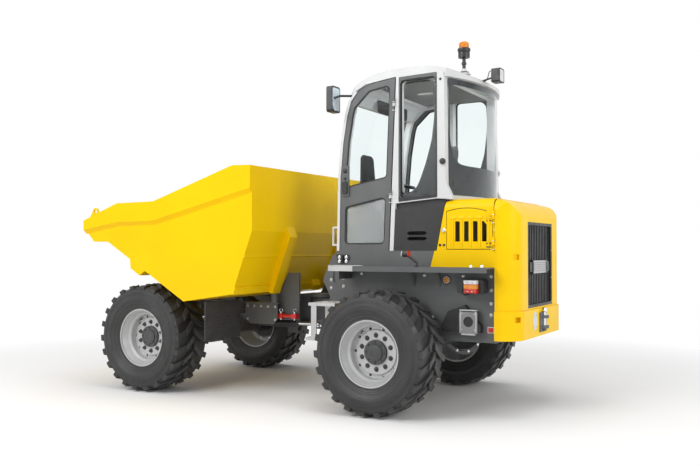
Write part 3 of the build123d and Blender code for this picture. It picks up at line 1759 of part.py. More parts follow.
# Mud flaps behind the front wheels, ribbed across the rear face
flap_grooves = int((flap_high - flap_low - flap_band) / flap_groove_pitch)
with BuildPart() as mud_flaps:
    for side in (1, -1):
        y0, y1 = both(flap_y0, flap_y1, side)
        block(flap_x, flap_x + flap, y0, y1, flap_low, flap_high)
        for groove in range(flap_grooves):
            groove_z = flap_low + (groove + 0.5) * flap_groove_pitch
            block(
                flap_x - overcut,
                flap_x + flap_groove,
                y0 - overcut,
                y1 + overcut,
                groove_z,
                groove_z + flap_groove_pitch / 2,
                mode=Mode.SUBTRACT,
            )
        y0, y1 = both(rail_y1, flap_y0, side)
        block(flap_x, flap_x + flap, y0, y1, rail_low + flap_arm_low, rail_high)
save(mud_flaps.part, "mud_flaps")

# Articulation lock bar stowed on the left rail
with BuildPart() as lock_bar:
    bar((lock_x0, lock_y, lock_low), (lock_x1, lock_y, lock_low), lock_radius)
    for eye_x in (lock_x0, lock_x1):
        block(
            eye_x - lock_eye,
            eye_x + lock_eye,
            rail_y1,
            lock_y + lock_eye_high,
            lock_low - lock_eye_high,
            lock_low + lock_eye_high,
        )
save(lock_bar.part, "lock_bar")

# Skip shell with a folded rim band and lifting eyes
skip_inner = inset(skip_floor, skip_wall)
spout_angle = atan2(skip_floor[-1][1] - skip_floor[-2][1], skip_floor[-1][0] - skip_floor[-2][0])
mouth_high = skip_inner[0][1] + skip_mouth
mouth_x = skip_inner[-1][0] + lip_reach
skip_inner_face = [(skip_inner[0][0], mouth_high)] + skip_inner[1:-1]
skip_inner_face += [(mouth_x, skip_inner[-1][1] + lip_reach * tan(spout_angle)), (mouth_x, mouth_high)]
skip_outline = skip_floor + skip_top
band_top = [skip_floor[0]] + skip_top[::-1]
band_outer = band_top + skip_band_low
band_inner = band_top + [(x, z - skip_band_slope) for x, z in skip_band_low]


def spout_z(x):
    return skip_floor[-2][1] + (x - skip_floor[-2][0]) * tan(spout_angle)


def rim_z(x):
    share = (x - skip_top[1][0]) / (skip_top[0][0] - skip_top[1][0])
    return skip_top[1][1] + share * (skip_top[0][1] - skip_top[1][1])


eye_mid_z = eye_top_z - eye_radius
eye_points = [
    (eye_x0, rim_z(eye_x0) - eye_radius),
    (eye_x0, rim_z(eye_x0)),
    (eye_top_x - eye_radius, eye_mid_z),
    (eye_top_x + eye_radius, eye_mid_z),
    (eye_x1, rim_z(eye_x1)),
    (eye_x1, rim_z(eye_x1) - eye_radius),
]
with BuildPart() as skip_shell:
    side_plate(skip_outline, -skip_half, skip_half)
    side_plate(skip_inner_face, -skip_half + skip_wall, skip_half - skip_wall, mode=Mode.SUBTRACT)
    for side in (1, -1):
        for band_y, band in ((skip_half, band_inner), (skip_rim_y, band_outer)):
            with BuildSketch(Plane.XZ.offset(-side * band_y)):
                with BuildLine():
                    Polyline(*band, close=True)
                make_face()
        loft(ruled=True)
        y0, y1 = both(skip_rim_y - skip_end_strip, skip_rim_y, side)
        block(
            skip_floor[0][0] - skip_end_proud,
            skip_floor[0][0],
            y0,
            y1,
            skip_band_low[-1][1],
            skip_floor[0][1],
        )
        y0, y1 = both(eye_y, eye_y + eye_plate, side)
        side_plate(eye_points, y0, y1)
        round_y(eye_top_x, eye_mid_z, eye_radius, y0, y1)
        round_y(eye_top_x, eye_mid_z, eye_hole, y0 - overcut, y1 + overcut, mode=Mode.SUBTRACT)
save(skip_shell.part, "skip_shell")

# Skip frame, lip box, under rib, rear ribs and strips
slope_dx = skip_floor[2][0] - skip_floor[1][0]
slope_dz = skip_floor[2][1] - skip_floor[1][1]
slope_size = hypot(slope_dx, slope_dz)


def on_slope(along, out):
    along_share = along / slope_size
    x = skip_floor[2][0] - slope_dx * along_share + slope_dz / slope_size * out
    z = skip_floor[2][1] - slope_dz * along_share - slope_dx / slope_size * out
    return (x, z)


lip_points = [
    (lip_back_x, spout_z(lip_back_x)),
    (lip_low_x0, lip_low_z),
    (lip_low_x1, lip_low_z),
    (front_end_x, lip_front_z),
    (front_end_x, spout_z(front_end_x)),
]
under_points = [
    (under_rib_back_x, spout_z(under_rib_back_x)),
    (under_rib_low_x, under_rib_low_z),
    (under_rib_front_x, under_rib_front_z),
    (under_rib_front_x + skip_wall, spout_z(under_rib_front_x + skip_wall)),
]
rear_rib_points = [
    (skip_floor[1][0], skip_floor[1][1] + rear_rib_cap_high),
    skip_floor[1],
    skip_floor[2],
    on_slope(0, rear_rib_deep),
    on_slope(slope_size - rear_rib_cap, rear_rib_deep),
]
strip_points = [
    on_slope(0, 0),
    on_slope(0, rear_strip_deep),
    on_slope(rear_strip_high, rear_strip_deep),
    on_slope(rear_strip_high, 0),
]
bead_along = slope_size * rear_bead_share
bead_points = [
    on_slope(bead_along - rear_bead, 0),
    on_slope(bead_along, rear_bead / 2),
    on_slope(bead_along + rear_bead, 0),
]
mid_points = [
    on_slope(0, 0),
    on_slope(0, mid_plate_deep / 2),
    on_slope(mid_plate_high / 2, mid_plate_deep / 2),
    on_slope(mid_plate_high, 0),
]
with BuildPart() as skip_frame:
    side_plate(lip_points, -skip_half, skip_half)
    side_plate(under_points, -skip_half, skip_half)
    side_plate(strip_points, -skip_half, skip_half)
    side_plate(bead_points, -skip_half, skip_half)
    for side in (1, -1):
        y0, y1 = both(rear_rib_y0, rear_rib_y1, side)
        side_plate(rear_rib_points, y0, y1)
        y0, y1 = both(mid_plate_y0, mid_plate_y1, side)
        side_plate(mid_points, y0, y1)
    add(skip_shell.part, mode=Mode.SUBTRACT)
save(skip_frame.part, "skip_frame")

# Pivot ears and rod lugs under the skip
with BuildPart() as skip_ears:
    for side in (1, -1):
        y0, y1 = both(tip_skip_y0, tip_skip_y1, side)
        ear_points = [
            (tip_x - tip_ear_radius, tip_z),
            (tip_x - tip_ear_foot, spout_z(tip_x - tip_ear_foot)),
            (tip_x + tip_ear_foot, spout_z(tip_x + tip_ear_foot)),
            (tip_x + tip_ear_radius, tip_z),
        ]
        side_plate(ear_points, y0, y1)
        round_y(tip_x, tip_z, tip_ear_radius, y0, y1)
        round_y(tip_x, tip_z, tip_pin_radius + pin_gap, y0 - overcut, y1 + overcut, mode=Mode.SUBTRACT)
        y0, y1 = both(tip_lug_y0, tip_lug_y1, side)
        lug_points = [
            (tip_eye_x - tip_lug_half, tip_eye_z - tip_lug_drop),
            (tip_eye_x - tip_lug_foot, spout_z(tip_eye_x - tip_lug_foot)),
            (tip_eye_x + tip_lug_foot, spout_z(tip_eye_x + tip_lug_foot)),
            (tip_eye_x + tip_lug_half, tip_eye_z - tip_lug_drop),
        ]
        side_plate(lug_points, y0, y1)
    add(skip_frame.part, mode=Mode.SUBTRACT)
save(skip_ears.part, "skip_ears")

# Tip cylinder
tip_run_x = tip_eye_x - tip_base_x
tip_run_z = tip_eye_z - tip_base_z


def on_tip(share):
    return (tip_base_x + share * tip_run_x, 0, tip_base_z + share * tip_run_z)


with BuildPart() as tip_barrel:
    round_y(tip_base_x, tip_base_z, tip_eye_radius, -tip_eye_half, tip_eye_half)
    bar(on_tip(0), on_tip(tip_barrel_share), tip_barrel_radius)
    bar(on_tip(tip_barrel_share - tip_gland_share), on_tip(tip_barrel_share), tip_gland_radius)
    for side in (1, -1):
        y0, y1 = both(tip_eye_half, 2 * tip_barrel_radius, side)
        block(
            tip_base_x - 2 * tip_barrel_radius,
            tip_base_x + tip_eye_radius,
            y0,
            y1,
            tip_base_z - 2 * tip_eye_radius,
            tip_base_z + tip_neck_share * tip_eye_radius,
            mode=Mode.SUBTRACT,
        )
    bar(on_tip(tip_bore_share), on_tip(1), tip_rod_radius + pin_gap, mode=Mode.SUBTRACT)
    round_y(
        tip_base_x,
        tip_base_z,
        tip_lug_pin + pin_gap,
        -2 * tip_eye_half,
        2 * tip_eye_half,
        mode=Mode.SUBTRACT,
    )
save(tip_barrel.part, "tip_barrel")
with BuildPart() as tip_rod:
    bar(on_tip(tip_rod_share), on_tip(1), tip_rod_radius)
    round_y(tip_eye_x, tip_eye_z, tip_eye_radius, -tip_eye_half, tip_eye_half)
    round_y(tip_eye_x, tip_eye_z, tip_lug_pin, -2 * tip_eye_half, 2 * tip_eye_half, mode=Mode.SUBTRACT)
save(tip_rod.part, "tip_rod")

# Steering cylinders
steer_low = steer_z - steer_eye_half
steer_high = steer_z + steer_eye_half
for cylinder_side, side in (("left", 1), ("right", -1)):
    front_point = Vector(steer_front_x, side * steer_front_y, steer_z)
    rear_point = Vector(steer_rear_x, side * steer_rear_y, steer_z)
    run = rear_point - front_point
    neck_end = front_point + run * steer_neck_share
    barrel_end = front_point + run * steer_barrel_share
    gland_start = front_point + run * (steer_barrel_share - steer_gland_share)
    with BuildPart() as steer_barrel:
        round_z(front_point.X, front_point.Y, steer_eye_radius, steer_low, steer_high)
        bar(tuple(front_point), tuple(neck_end), steer_eye_half)
        bar(tuple(neck_end), tuple(barrel_end), steer_barrel_radius)
        bar(tuple(gland_start), tuple(barrel_end), steer_gland_radius)
        round_z(
            front_point.X,
            front_point.Y,
            steer_lug_pin + pin_gap,
            steer_low - steer_eye_half,
            steer_high + steer_eye_half,
            mode=Mode.SUBTRACT,
        )
        bar(
            tuple(front_point + run * steer_bore_share),
            tuple(rear_point),
            steer_rod_radius + pin_gap,
            mode=Mode.SUBTRACT,
        )
    save(steer_barrel.part, f"steer_barrel_{cylinder_side}")
    with BuildPart() as steer_rod:
        bar(tuple(front_point + run * steer_rod_share), tuple(rear_point), steer_rod_radius)
        round_z(rear_point.X, rear_point.Y, steer_eye_radius, steer_low, steer_high)
        round_z(rear_point.X, rear_point.Y, steer_lug_pin, steer_low, steer_high, mode=Mode.SUBTRACT)
    save(steer_rod.part, f"steer_rod_{cylinder_side}")
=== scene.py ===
import json
import math

import bmesh
import bpy
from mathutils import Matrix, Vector
from mathutils.bvhtree import BVHTree


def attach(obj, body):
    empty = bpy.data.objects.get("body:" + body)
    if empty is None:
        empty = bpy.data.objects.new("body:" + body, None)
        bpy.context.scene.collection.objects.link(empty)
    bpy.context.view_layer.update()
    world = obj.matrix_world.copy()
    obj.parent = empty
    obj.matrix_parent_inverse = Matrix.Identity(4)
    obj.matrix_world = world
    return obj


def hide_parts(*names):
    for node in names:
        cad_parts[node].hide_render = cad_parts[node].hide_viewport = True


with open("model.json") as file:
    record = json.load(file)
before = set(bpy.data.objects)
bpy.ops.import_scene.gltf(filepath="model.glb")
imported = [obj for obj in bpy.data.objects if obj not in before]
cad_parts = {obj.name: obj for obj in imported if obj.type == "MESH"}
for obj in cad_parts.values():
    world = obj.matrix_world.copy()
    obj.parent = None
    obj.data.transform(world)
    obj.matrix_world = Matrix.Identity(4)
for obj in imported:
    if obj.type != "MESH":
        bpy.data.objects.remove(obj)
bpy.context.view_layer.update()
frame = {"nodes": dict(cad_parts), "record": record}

# Camera, fitted to the four rims in the photograph
CAMERA_AT = Vector((-4.541, 7.451, 1.475))
CAMERA_YAW = math.radians(-60.08)
CAMERA_PITCH = math.radians(1.18)
CAMERA_LENS = 41.72
SENSOR = 36
PHOTO_WIDE = 700
PHOTO_HIGH = 466

camera_data = bpy.data.cameras.new("camera")
camera = bpy.data.objects.new("camera", camera_data)
bpy.context.collection.objects.link(camera)
camera_data.lens = CAMERA_LENS
camera_data.sensor_width = SENSOR
camera.location = CAMERA_AT
view_way = Vector((
    math.cos(CAMERA_PITCH) * math.cos(CAMERA_YAW),
    math.cos(CAMERA_PITCH) * math.sin(CAMERA_YAW),
    math.sin(CAMERA_PITCH),
))
camera.rotation_mode = "QUATERNION"
camera.rotation_quaternion = view_way.to_track_quat("-Z", "Y")
bpy.context.scene.camera = camera
bpy.context.scene.view_settings.view_transform = "Standard"

# Units and directions: pieces are in millimetres, and camera, materials, floor and lamps in metres
MM = 0.001
AHEAD = Vector((1, 0, 0))
UP = Vector((0, 0, 1))
OUT = {1: Vector((0, 1, 0)), -1: Vector((0, -1, 0))}
SIDES = {"left": 1, "right": -1}

# Wheels
FRONT_AXLE_X = 1580
REAR_AXLE_X = -1120
AXLE_Z = 559.185
HALF_TRACK = 988
WHEELS = {
    "fl": (FRONT_AXLE_X, 1), "fr": (FRONT_AXLE_X, -1), "rl": (REAR_AXLE_X, 1), "rr": (REAR_AXLE_X, -1),
}
TREADS = {"f": "tyre_front", "r": "tyre_rear"}

# Node helpers for procedural materials
MATERIALS = {}
NOISE_ROUGHNESS = 0.55
DUST = (0.42, 0.39, 0.34)
LENS_RIBS = 320.0
WEAVE = 130.0


def new_material(name):
    material = bpy.data.materials.new(name)
    material.use_nodes = True
    MATERIALS[name] = material
    tree = material.node_tree
    return tree, tree.nodes["Principled BSDF"]


def set_inputs(node, values):
    for name, value in values.items():
        node.inputs[name].default_value = value


def noise(tree, scale, detail):
    coords = tree.nodes.new("ShaderNodeTexCoord")
    texture = tree.nodes.new("ShaderNodeTexNoise")
    set_inputs(texture, {"Scale": scale, "Detail": detail, "Roughness": NOISE_ROUGHNESS})
    tree.links.new(coords.outputs["Object"], texture.inputs["Vector"])
    return texture.outputs["Fac"]


def wave(tree, direction, scale, distortion=0.0):
    coords = tree.nodes.new("ShaderNodeTexCoord")
    texture = tree.nodes.new("ShaderNodeTexWave")
    texture.bands_direction = direction
    set_inputs(texture, {"Scale": scale, "Distortion": distortion})
    tree.links.new(coords.outputs["Object"], texture.inputs["Vector"])
    return texture.outputs["Fac"]


def mottled(tree, scale, detail, dark, light, start=0.3, end=0.7):
    node = tree.nodes.new("ShaderNodeValToRGB")
    for element, place, colour in zip(node.color_ramp.elements, (start, end), (dark, light)):
        element.position = place
        element.color = (*colour, 1)
    tree.links.new(noise(tree, scale, detail), node.inputs["Fac"])
    return node.outputs["Color"]


def spread(tree, value, low, high, start=0.3, end=0.7):
    node = tree.nodes.new("ShaderNodeMapRange")
    set_inputs(node, {"From Min": start, "From Max": end, "To Min": low, "To Max": high})
    tree.links.new(value, node.inputs["Value"])
    return node.outputs["Result"]


def bump(tree, shader, height, strength, distance):
    node = tree.nodes.new("ShaderNodeBump")
    set_inputs(node, {"Strength": strength, "Distance": distance})
    tree.links.new(height, node.inputs["Height"])
    tree.links.new(node.outputs["Normal"], shader.inputs["Normal"])


def blend_colour(tree, factor, colour, other):
    mix = tree.nodes.new("ShaderNodeMix")
    mix.data_type = "RGBA"
    tree.links.new(factor, mix.inputs["Factor"])
    tree.links.new(colour, mix.inputs["A"])
    mix.inputs["B"].default_value = (*other, 1)
    return mix.outputs["Result"]


def blend_shaders(tree, factor, one, two, output):
    mix = tree.nodes.new("ShaderNodeMixShader")
    tree.links.new(factor, mix.inputs["Fac"])
    tree.links.new(one, mix.inputs[1])
    tree.links.new(two, mix.inputs[2])
    tree.links.new(mix.outputs["Shader"], tree.nodes[output].inputs["Surface"])


def combined(tree, operation, one, two):
    node = tree.nodes.new("ShaderNodeMath")
    node.operation = operation
    tree.links.new(one, node.inputs[0])
    tree.links.new(two, node.inputs[1])
    return node.outputs["Value"]


def length_of(tree, vector):
    node = tree.nodes.new("ShaderNodeVectorMath")
    node.operation = "LENGTH"
    tree.links.new(vector, node.inputs[0])
    return node.outputs["Value"]


def dusty(tree, colour, low_z, high_z, amount):
    coords = tree.nodes.new("ShaderNodeTexCoord")
    split = tree.nodes.new("ShaderNodeSeparateXYZ")
    tree.links.new(coords.outputs["Object"], split.inputs["Vector"])
    height = spread(tree, split.outputs["Z"], amount, 0.0, low_z, high_z)
    patch = spread(tree, noise(tree, 9.0, 6.0), 0.25, 1.0, 0.35, 0.7)
    return blend_colour(tree, combined(tree, "MULTIPLY", height, patch), colour, DUST)


def surface(tree, shader, colour, scale, detail, rough):
    tree.links.new(colour, shader.inputs["Base Color"])
    tree.links.new(spread(tree, noise(tree, scale, detail), *rough), shader.inputs["Roughness"])


def painted(
    name, dark, light, rough=(0.28, 0.4), coat=0.0, dust=0.0, metal=0.0, grain=70.0, peel=0.05, gloss=0.5
):
    tree, shader = new_material(name)
    colour = mottled(tree, 2.2, 5.0, dark, light)
    if dust:
        colour = dusty(tree, colour, 0.35, 1.5, dust)
    surface(tree, shader, colour, 6.0, 6.0, rough)
    set_inputs(shader, {"Metallic": metal, "Specular IOR Level": gloss})
    set_inputs(shader, {"Coat Weight": coat, "Coat Roughness": 0.12})
    bump(tree, shader, noise(tree, grain, 3.0), peel, 0.002)


def moulded(name, dark, light, rough=(0.45, 0.62), grain=420.0, depth=0.25):
    tree, shader = new_material(name)
    surface(tree, shader, mottled(tree, 5.0, 4.0, dark, light), 11.0, 5.0, rough)
    bump(tree, shader, noise(tree, grain, 2.0), depth, 0.0008)


def rubber(name, dark, light, dust):
    tree, shader = new_material(name)
    colour = dusty(tree, mottled(tree, 7.0, 6.0, dark, light, 0.32, 0.68), 0.0, 1.4, dust)
    surface(tree, shader, colour, 14.0, 6.0, (0.52, 0.78))
    bump(tree, shader, noise(tree, 160.0, 4.0), 0.22, 0.0012)


def tread_rubber(name, axle_x):
    tree, shader = new_material(name)
    coords = tree.nodes.new("ShaderNodeTexCoord")
    mapping = tree.nodes.new("ShaderNodeMapping")
    set_inputs(mapping, {"Location": (-axle_x * MM, 0, -AXLE_Z * MM), "Scale": (1, 0, 1)})
    tree.links.new(coords.outputs["Object"], mapping.inputs["Vector"])
    radius = length_of(tree, mapping.outputs["Vector"])
    patchy = mottled(tree, 7.0, 6.0, (0.02, 0.02, 0.0205), (0.034, 0.034, 0.0345), 0.32, 0.68)
    # The outer edge of the tread is painted lighter in patches: a painted sheen on the lug faces over the
    # dark rubber
    sheen_patches = spread(tree, noise(tree, 16.0, 6.0), 0.35, 1.0)
    lug_sheen = combined(tree, "MULTIPLY", spread(tree, radius, 0.0, 0.55, 0.53, 0.556), sheen_patches)
    surface(tree, shader, blend_colour(tree, lug_sheen, patchy, (0.105, 0.105, 0.104)), 14.0, 6.0, (0.4, 0.62))
    bump(tree, shader, noise(tree, 160.0, 4.0), 0.22, 0.0012)


def see_through_shade(name, dark, light, alpha):
    tree, shader = new_material(name)
    surface(tree, shader, mottled(tree, 2.0, 4.0, dark, light), 4.0, 4.0, (0.3, 0.45))
    set_inputs(shader, {"Alpha": alpha})


def clear(name, dark, light):
    tree, shader = new_material(name)
    surface(tree, shader, mottled(tree, 1.6, 3.0, dark, light, 0.2, 0.8), 3.0, 6.0, (0.0, 0.02))
    set_inputs(shader, {"Transmission Weight": 1.0, "IOR": 1.1})
    shadow = tree.nodes.new("ShaderNodeLightPath").outputs["Is Shadow Ray"]
    through = tree.nodes.new("ShaderNodeBsdfTransparent")
    blend_shaders(tree, shadow, shader.outputs["BSDF"], through.outputs["BSDF"], "Material Output")


def lens(name, dark, light):
    tree, shader = new_material(name)
    surface(tree, shader, mottled(tree, 18.0, 3.0, dark, light), 30.0, 3.0, (0.08, 0.2))
    set_inputs(shader, {"Transmission Weight": 0.25})
    bump(tree, shader, wave(tree, "Z", LENS_RIBS / 6.283), 0.3, 0.002)


def woven(name, dark, light):
    tree, shader = new_material(name)
    surface(tree, shader, mottled(tree, 6.0, 5.0, dark, light), 20.0, 4.0, (0.78, 0.95))
    set_inputs(shader, {"Sheen Weight": 0.3})
    threads = [wave(tree, direction, WEAVE, 0.6) for direction in ("X", "Z")]
    bump(tree, shader, combined(tree, "MULTIPLY", *threads), 0.45, 0.0012)


# The record's material slots
painted("yellow_paint", (0.9, 0.56, 0.0), (0.94, 0.6, 0.0), (0.3, 0.4), coat=0.03, dust=0.02, gloss=0.12)
painted("grey_paint", (0.08, 0.084, 0.086), (0.105, 0.11, 0.112), (0.4, 0.55), dust=0.05)
painted("white_paint", (0.6, 0.605, 0.61), (0.66, 0.665, 0.67), (0.35, 0.48))
painted("red_paint", (0.6, 0.012, 0.008), (0.72, 0.02, 0.012), coat=0.3)
painted("rim_silver", (0.5, 0.505, 0.51), (0.58, 0.585, 0.59), (0.32, 0.45), dust=0.1, metal=0.2)
painted("hub_iron", (0.045, 0.046, 0.048), (0.08, 0.08, 0.083), (0.42, 0.58), grain=240.0, peel=0.3)
painted(
    "axle_iron", (0.035, 0.036, 0.037), (0.065, 0.065, 0.067), (0.5, 0.66), dust=0.22, grain=240.0, peel=0.3
)
painted("engine_iron", (0.06, 0.06, 0.06), (0.1, 0.1, 0.1), (0.5, 0.66), grain=240.0, peel=0.3)
painted("tread_plate", (0.42, 0.42, 0.42), (0.56, 0.56, 0.56), (0.35, 0.5), metal=0.7, grain=300.0)
painted("rod_chrome", (0.72, 0.72, 0.73), (0.82, 0.82, 0.83), (0.08, 0.16), metal=1.0, grain=400.0)
painted("pin_steel", (0.4, 0.4, 0.4), (0.52, 0.52, 0.52), (0.32, 0.45), metal=1.0, grain=300.0)
moulded("dark_plastic", (0.013, 0.013, 0.0135), (0.021, 0.021, 0.0215))
moulded("black_plastic", (0.012, 0.012, 0.013), (0.022, 0.022, 0.024), (0.3, 0.5))
rubber("flap_rubber", (0.02, 0.02, 0.021), (0.034, 0.034, 0.035), 0.12)
clear("clear_glass", (0.9, 0.955, 0.95), (0.97, 0.99, 0.99))
woven("seat_fabric", (0.03, 0.03, 0.033), (0.055, 0.055, 0.06))
lens("lamp_lens", (0.55, 0.015, 0.008), (0.75, 0.03, 0.012))
lens("amber_lens", (0.85, 0.26, 0.01), (0.95, 0.36, 0.015))
lens("white_lens", (0.72, 0.73, 0.74), (0.88, 0.89, 0.9))

# Finishes that single pieces have within their slots
tread_rubber(TREADS["f"], FRONT_AXLE_X)
tread_rubber(TREADS["r"], REAR_AXLE_X)
painted("zinc_plate", (0.2, 0.2, 0.2), (0.29, 0.29, 0.29), (0.38, 0.52), metal=0.55, grain=260.0)
painted("mirror_face", (0.6, 0.72, 0.8), (0.7, 0.8, 0.86), (0.04, 0.08), metal=1.0, grain=20.0, peel=0.01)
moulded("headliner", (0.13, 0.132, 0.134), (0.18, 0.182, 0.184), (0.7, 0.85), grain=700.0)
moulded("glass_ink", (0.014, 0.015, 0.016), (0.022, 0.023, 0.024), (0.25, 0.4))
moulded("screen", (0.02, 0.03, 0.035), (0.03, 0.042, 0.05), (0.08, 0.16), grain=60.0, depth=0.02)
# Grey see-through sheet: painted shade for the lower door pane
see_through_shade("pane_shade_sheet", (0.2, 0.2, 0.2), (0.27, 0.27, 0.27), 0.72)

OWN_FINISH = {"chock_holder": "zinc_plate"}
OWN_FINISH.update({f"tyre_{tag}": TREADS[tag[0]] for tag in WHEELS})
for entry in frame["record"]["subparts"]:
    finish = OWN_FINISH.get(entry["node"], entry["material_slot"])
    slots = frame["nodes"][entry["node"]].data.materials
    slots.clear()
    slots.append(MATERIALS[finish])

# Places on the solids
FAR_OUT = 1500
skins = {}


def at(x, y, z):
    return Vector((x * MM, y * MM, z * MM))


def skin(name):
    if name not in skins:
        mesh = frame["nodes"][name].data
        spots = [vertex.co.copy() for vertex in mesh.vertices]
        skins[name] = BVHTree.FromPolygons(spots, [tuple(face.vertices) for face in mesh.polygons])
    return skins[name]


def met(names, start, way):
    best = None
    way = Vector(way).normalized()
    for name in names.split():
        place, normal, _, distance = skin(name).ray_cast(start, way)
        if place is not None and (best is None or distance < best[2]):
            best = (place, normal, distance)
    if best is None:
        raise ValueError(f"{names} isn't met from {tuple(start)}")
    place, normal, _ = best
    return place, -normal if normal.dot(way) > 0 else normal


def side_met(names, side, x, z):
    return met(names, at(x, side * FAR_OUT, z), -OUT[side])


def top_met(names, x, y, z):
    return met(names, at(x, y, z), -UP)


def photo_met(names, pixel):
    across = (pixel[0] - PHOTO_WIDE / 2) / PHOTO_WIDE * SENSOR / CAMERA_LENS
    up = (PHOTO_HIGH / 2 - pixel[1]) / PHOTO_WIDE * SENSOR / CAMERA_LENS
    return met(names, CAMERA_AT, camera.rotation_quaternion @ Vector((across, up, -1)))


# Mesh helpers
SHARP = math.radians(35)
BEVELLED = math.radians(40)
SINK = 0.5


def linked(name, data):
    made = bpy.data.objects.new(name, data)
    bpy.context.collection.objects.link(made)
    return made


def meshed(name, shape):
    mesh = bpy.data.meshes.new(name)
    shape.to_mesh(mesh)
    shape.free()
    return linked(name, mesh)


def dress(made, finish):
    made.data.materials.clear()
    made.data.materials.append(MATERIALS[finish])
    for face in made.data.polygons:
        face.use_smooth = True


def piece(name, shape, slot_name, body="rear_frame", bevel=0.0, material=None):
    bmesh.ops.recalc_face_normals(shape, faces=shape.faces)
    made = meshed(name, shape)
    dress(made, material or slot_name)
    made.data.set_sharp_from_angle(angle=SHARP)
    if bevel:
        edge = made.modifiers.new("edge", "BEVEL")
        edge.width = bevel * MM
        edge.segments = 2
        edge.limit_method = "ANGLE"
        edge.angle_limit = BEVELLED
    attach(made, body)


def lathe(shape, foot, axis, profile, sides=24, close=False):
    axis = Vector(axis).normalized()
    side = axis.orthogonal().normalized()
    up = axis.cross(side)
    rings = []
    for radius, high in profile:
        middle = foot + axis * high * MM
        if radius == 0:
            rings.append([shape.verts.new(middle)])
            continue
        ring = []
        for step in range(sides):
            angle = 2 * math.pi * step / sides
            way = side * math.cos(angle) + up * math.sin(angle)
            ring.append(shape.verts.new(middle + way * radius * MM))
        rings.append(ring)
    pairs = list(zip(rings, rings[1:]))
    if close:
        pairs.append((rings[-1], rings[0]))
    for one, two in pairs:
        for step in range(sides):
            after = (step + 1) % sides
            if len(one) == 1:
                shape.faces.new((one[0], two[step], two[after]))
            elif len(two) == 1:
                shape.faces.new((one[step], two[0], one[after]))
            else:
                shape.faces.new((one[step], two[step], two[after], one[after]))
    if not close:
        for ring in (rings[0], rings[-1]):
            if len(ring) > 1:
                shape.faces.new(ring)


def turned(name, slot_name, foot, axis, profile, sides, body="rear_frame", close=False):
    shape = bmesh.new()
    lathe(shape, foot, axis, profile, sides, close)
    piece(name, shape, slot_name, body)


def bolt(shape, place, normal, radius, high):
    sink = place - Vector(normal) * SINK * MM
    washer = radius * 1.35
    stud = radius * 0.55
    lathe(shape, sink, normal, [(washer, 0), (washer, 2.4), (washer * 0.94, 3.0)], 18)
    lathe(shape, sink, normal, [(radius, 3.0), (radius, high - 1.5), (radius * 0.86, high)], 6)
    lathe(shape, sink, normal, [(stud, high), (stud, high + 2), (0, high + 2.6)], 12)


def side_bolts(shape, names, spots, radius, high):
    for x, z in spots:
        for side in (1, -1):
            bolt(shape, *side_met(names, side, x, z), radius, high)


def screw(shape, place, normal, radius):
    sink = place - Vector(normal) * SINK * MM
    recess = [(radius * 0.45, 4.0), (radius * 0.4, 2.6), (0, 2.4)]
    lathe(shape, sink, normal, [(radius, 0), (radius, 1.6), (radius * 0.8, 3.4), *recess], 16)


def block(shape, side, low, high):
    near, far = sorted((side * low[1], side * high[1]))
    corners = []
    for z in (low[2], high[2]):
        for x, y in ((low[0], near), (high[0], near), (high[0], far), (low[0], far)):
            corners.append(shape.verts.new(at(x, y, z)))
    for face in ((3, 2, 1, 0), (4, 5, 6, 7), (0, 1, 5, 4), (1, 2, 6, 5), (2, 3, 7, 6), (3, 0, 4, 7)):
        shape.faces.new([corners[index] for index in face])


def plate(shape, outline, lift):
    low = [shape.verts.new(spot) for spot in outline]
    high = [shape.verts.new(spot + lift) for spot in outline]
    shape.faces.new(low)
    shape.faces.new(high)
    for step in range(len(low)):
        after = (step + 1) % len(low)
        shape.faces.new((low[step], low[after], high[after], high[step]))


def slab(name, slot_name, outline, lift, bevel=0.0, body="rear_frame", material=None):
    shape = bmesh.new()
    plate(shape, outline, lift)
    piece(name, shape, slot_name, body, bevel, material)


def band(shape, outer, inner, lift):
    rows = []
    for loop, move in ((outer, None), (outer, lift), (inner, lift), (inner, None)):
        rows.append([shape.verts.new(spot + move if move else spot) for spot in loop])
    for row, other in zip(rows, rows[1:] + rows[:1]):
        for step in range(len(row)):
            after = (step + 1) % len(row)
            shape.faces.new((row[step], row[after], other[after], other[step]))


def rectangle(low, high):
    return [low, (high[0], low[1]), high, (low[0], high[1])]


def rounded(points, radius, steps=6):
    result = []
    for index, point in enumerate(points):
        here = Vector(point)
        back = Vector(points[index - 1]) - here
        on = Vector(points[(index + 1) % len(points)]) - here
        cut = min(radius, back.length * 0.45, on.length * 0.45)
        start = here + back.normalized() * cut
        end = here + on.normalized() * cut
        for step in range(steps + 1):
            share = step / steps
            result.append(start.lerp(here, share).lerp(here.lerp(end, share), share))
    return result


def facing_x(x, points, radius):
    return [at(x, spot.x, spot.y) for spot in rounded(points, radius)]


def facing_y(y, points, radius):
    return [at(spot.x, y, spot.y) for spot in rounded(points, radius)]


def facing_z(z, points, radius):
    return [at(spot.x, spot.y, z) for spot in rounded(points, radius)]


def ellipse(middle, across, up, count):
    turns = [2 * math.pi * step / count for step in range(count)]
    return [middle + across * math.cos(turn) * MM + up * math.sin(turn) * MM for turn in turns]


def around(count, radius, start=0.0):
    for step in range(count):
        angle = start + 2 * math.pi * step / count
        yield radius * math.cos(angle), radius * math.sin(angle)


def pane_loops(name, direction):
    mesh = frame["nodes"][name].data
    edges = {}
    for face in mesh.polygons:
        if face.normal.dot(direction) < 0.98 or face.center.dot(direction) < PANE_FACE * MM:
            continue
        spots = [tuple(round(value, 5) for value in mesh.vertices[index].co) for index in face.vertices]
        for one, two in zip(spots, spots[1:] + spots[:1]):
            if (two, one) in edges:
                del edges[(two, one)]
            else:
                edges[(one, two)] = True
    follow = dict(edges.keys())
    loops = []
    while follow:
        start = next(iter(follow))
        loop = [start]
        spot = follow.pop(start)
        while spot != start:
            loop.append(spot)
            spot = follow.pop(spot)
        loops.append([Vector(spot) for spot in loop])
    return loops


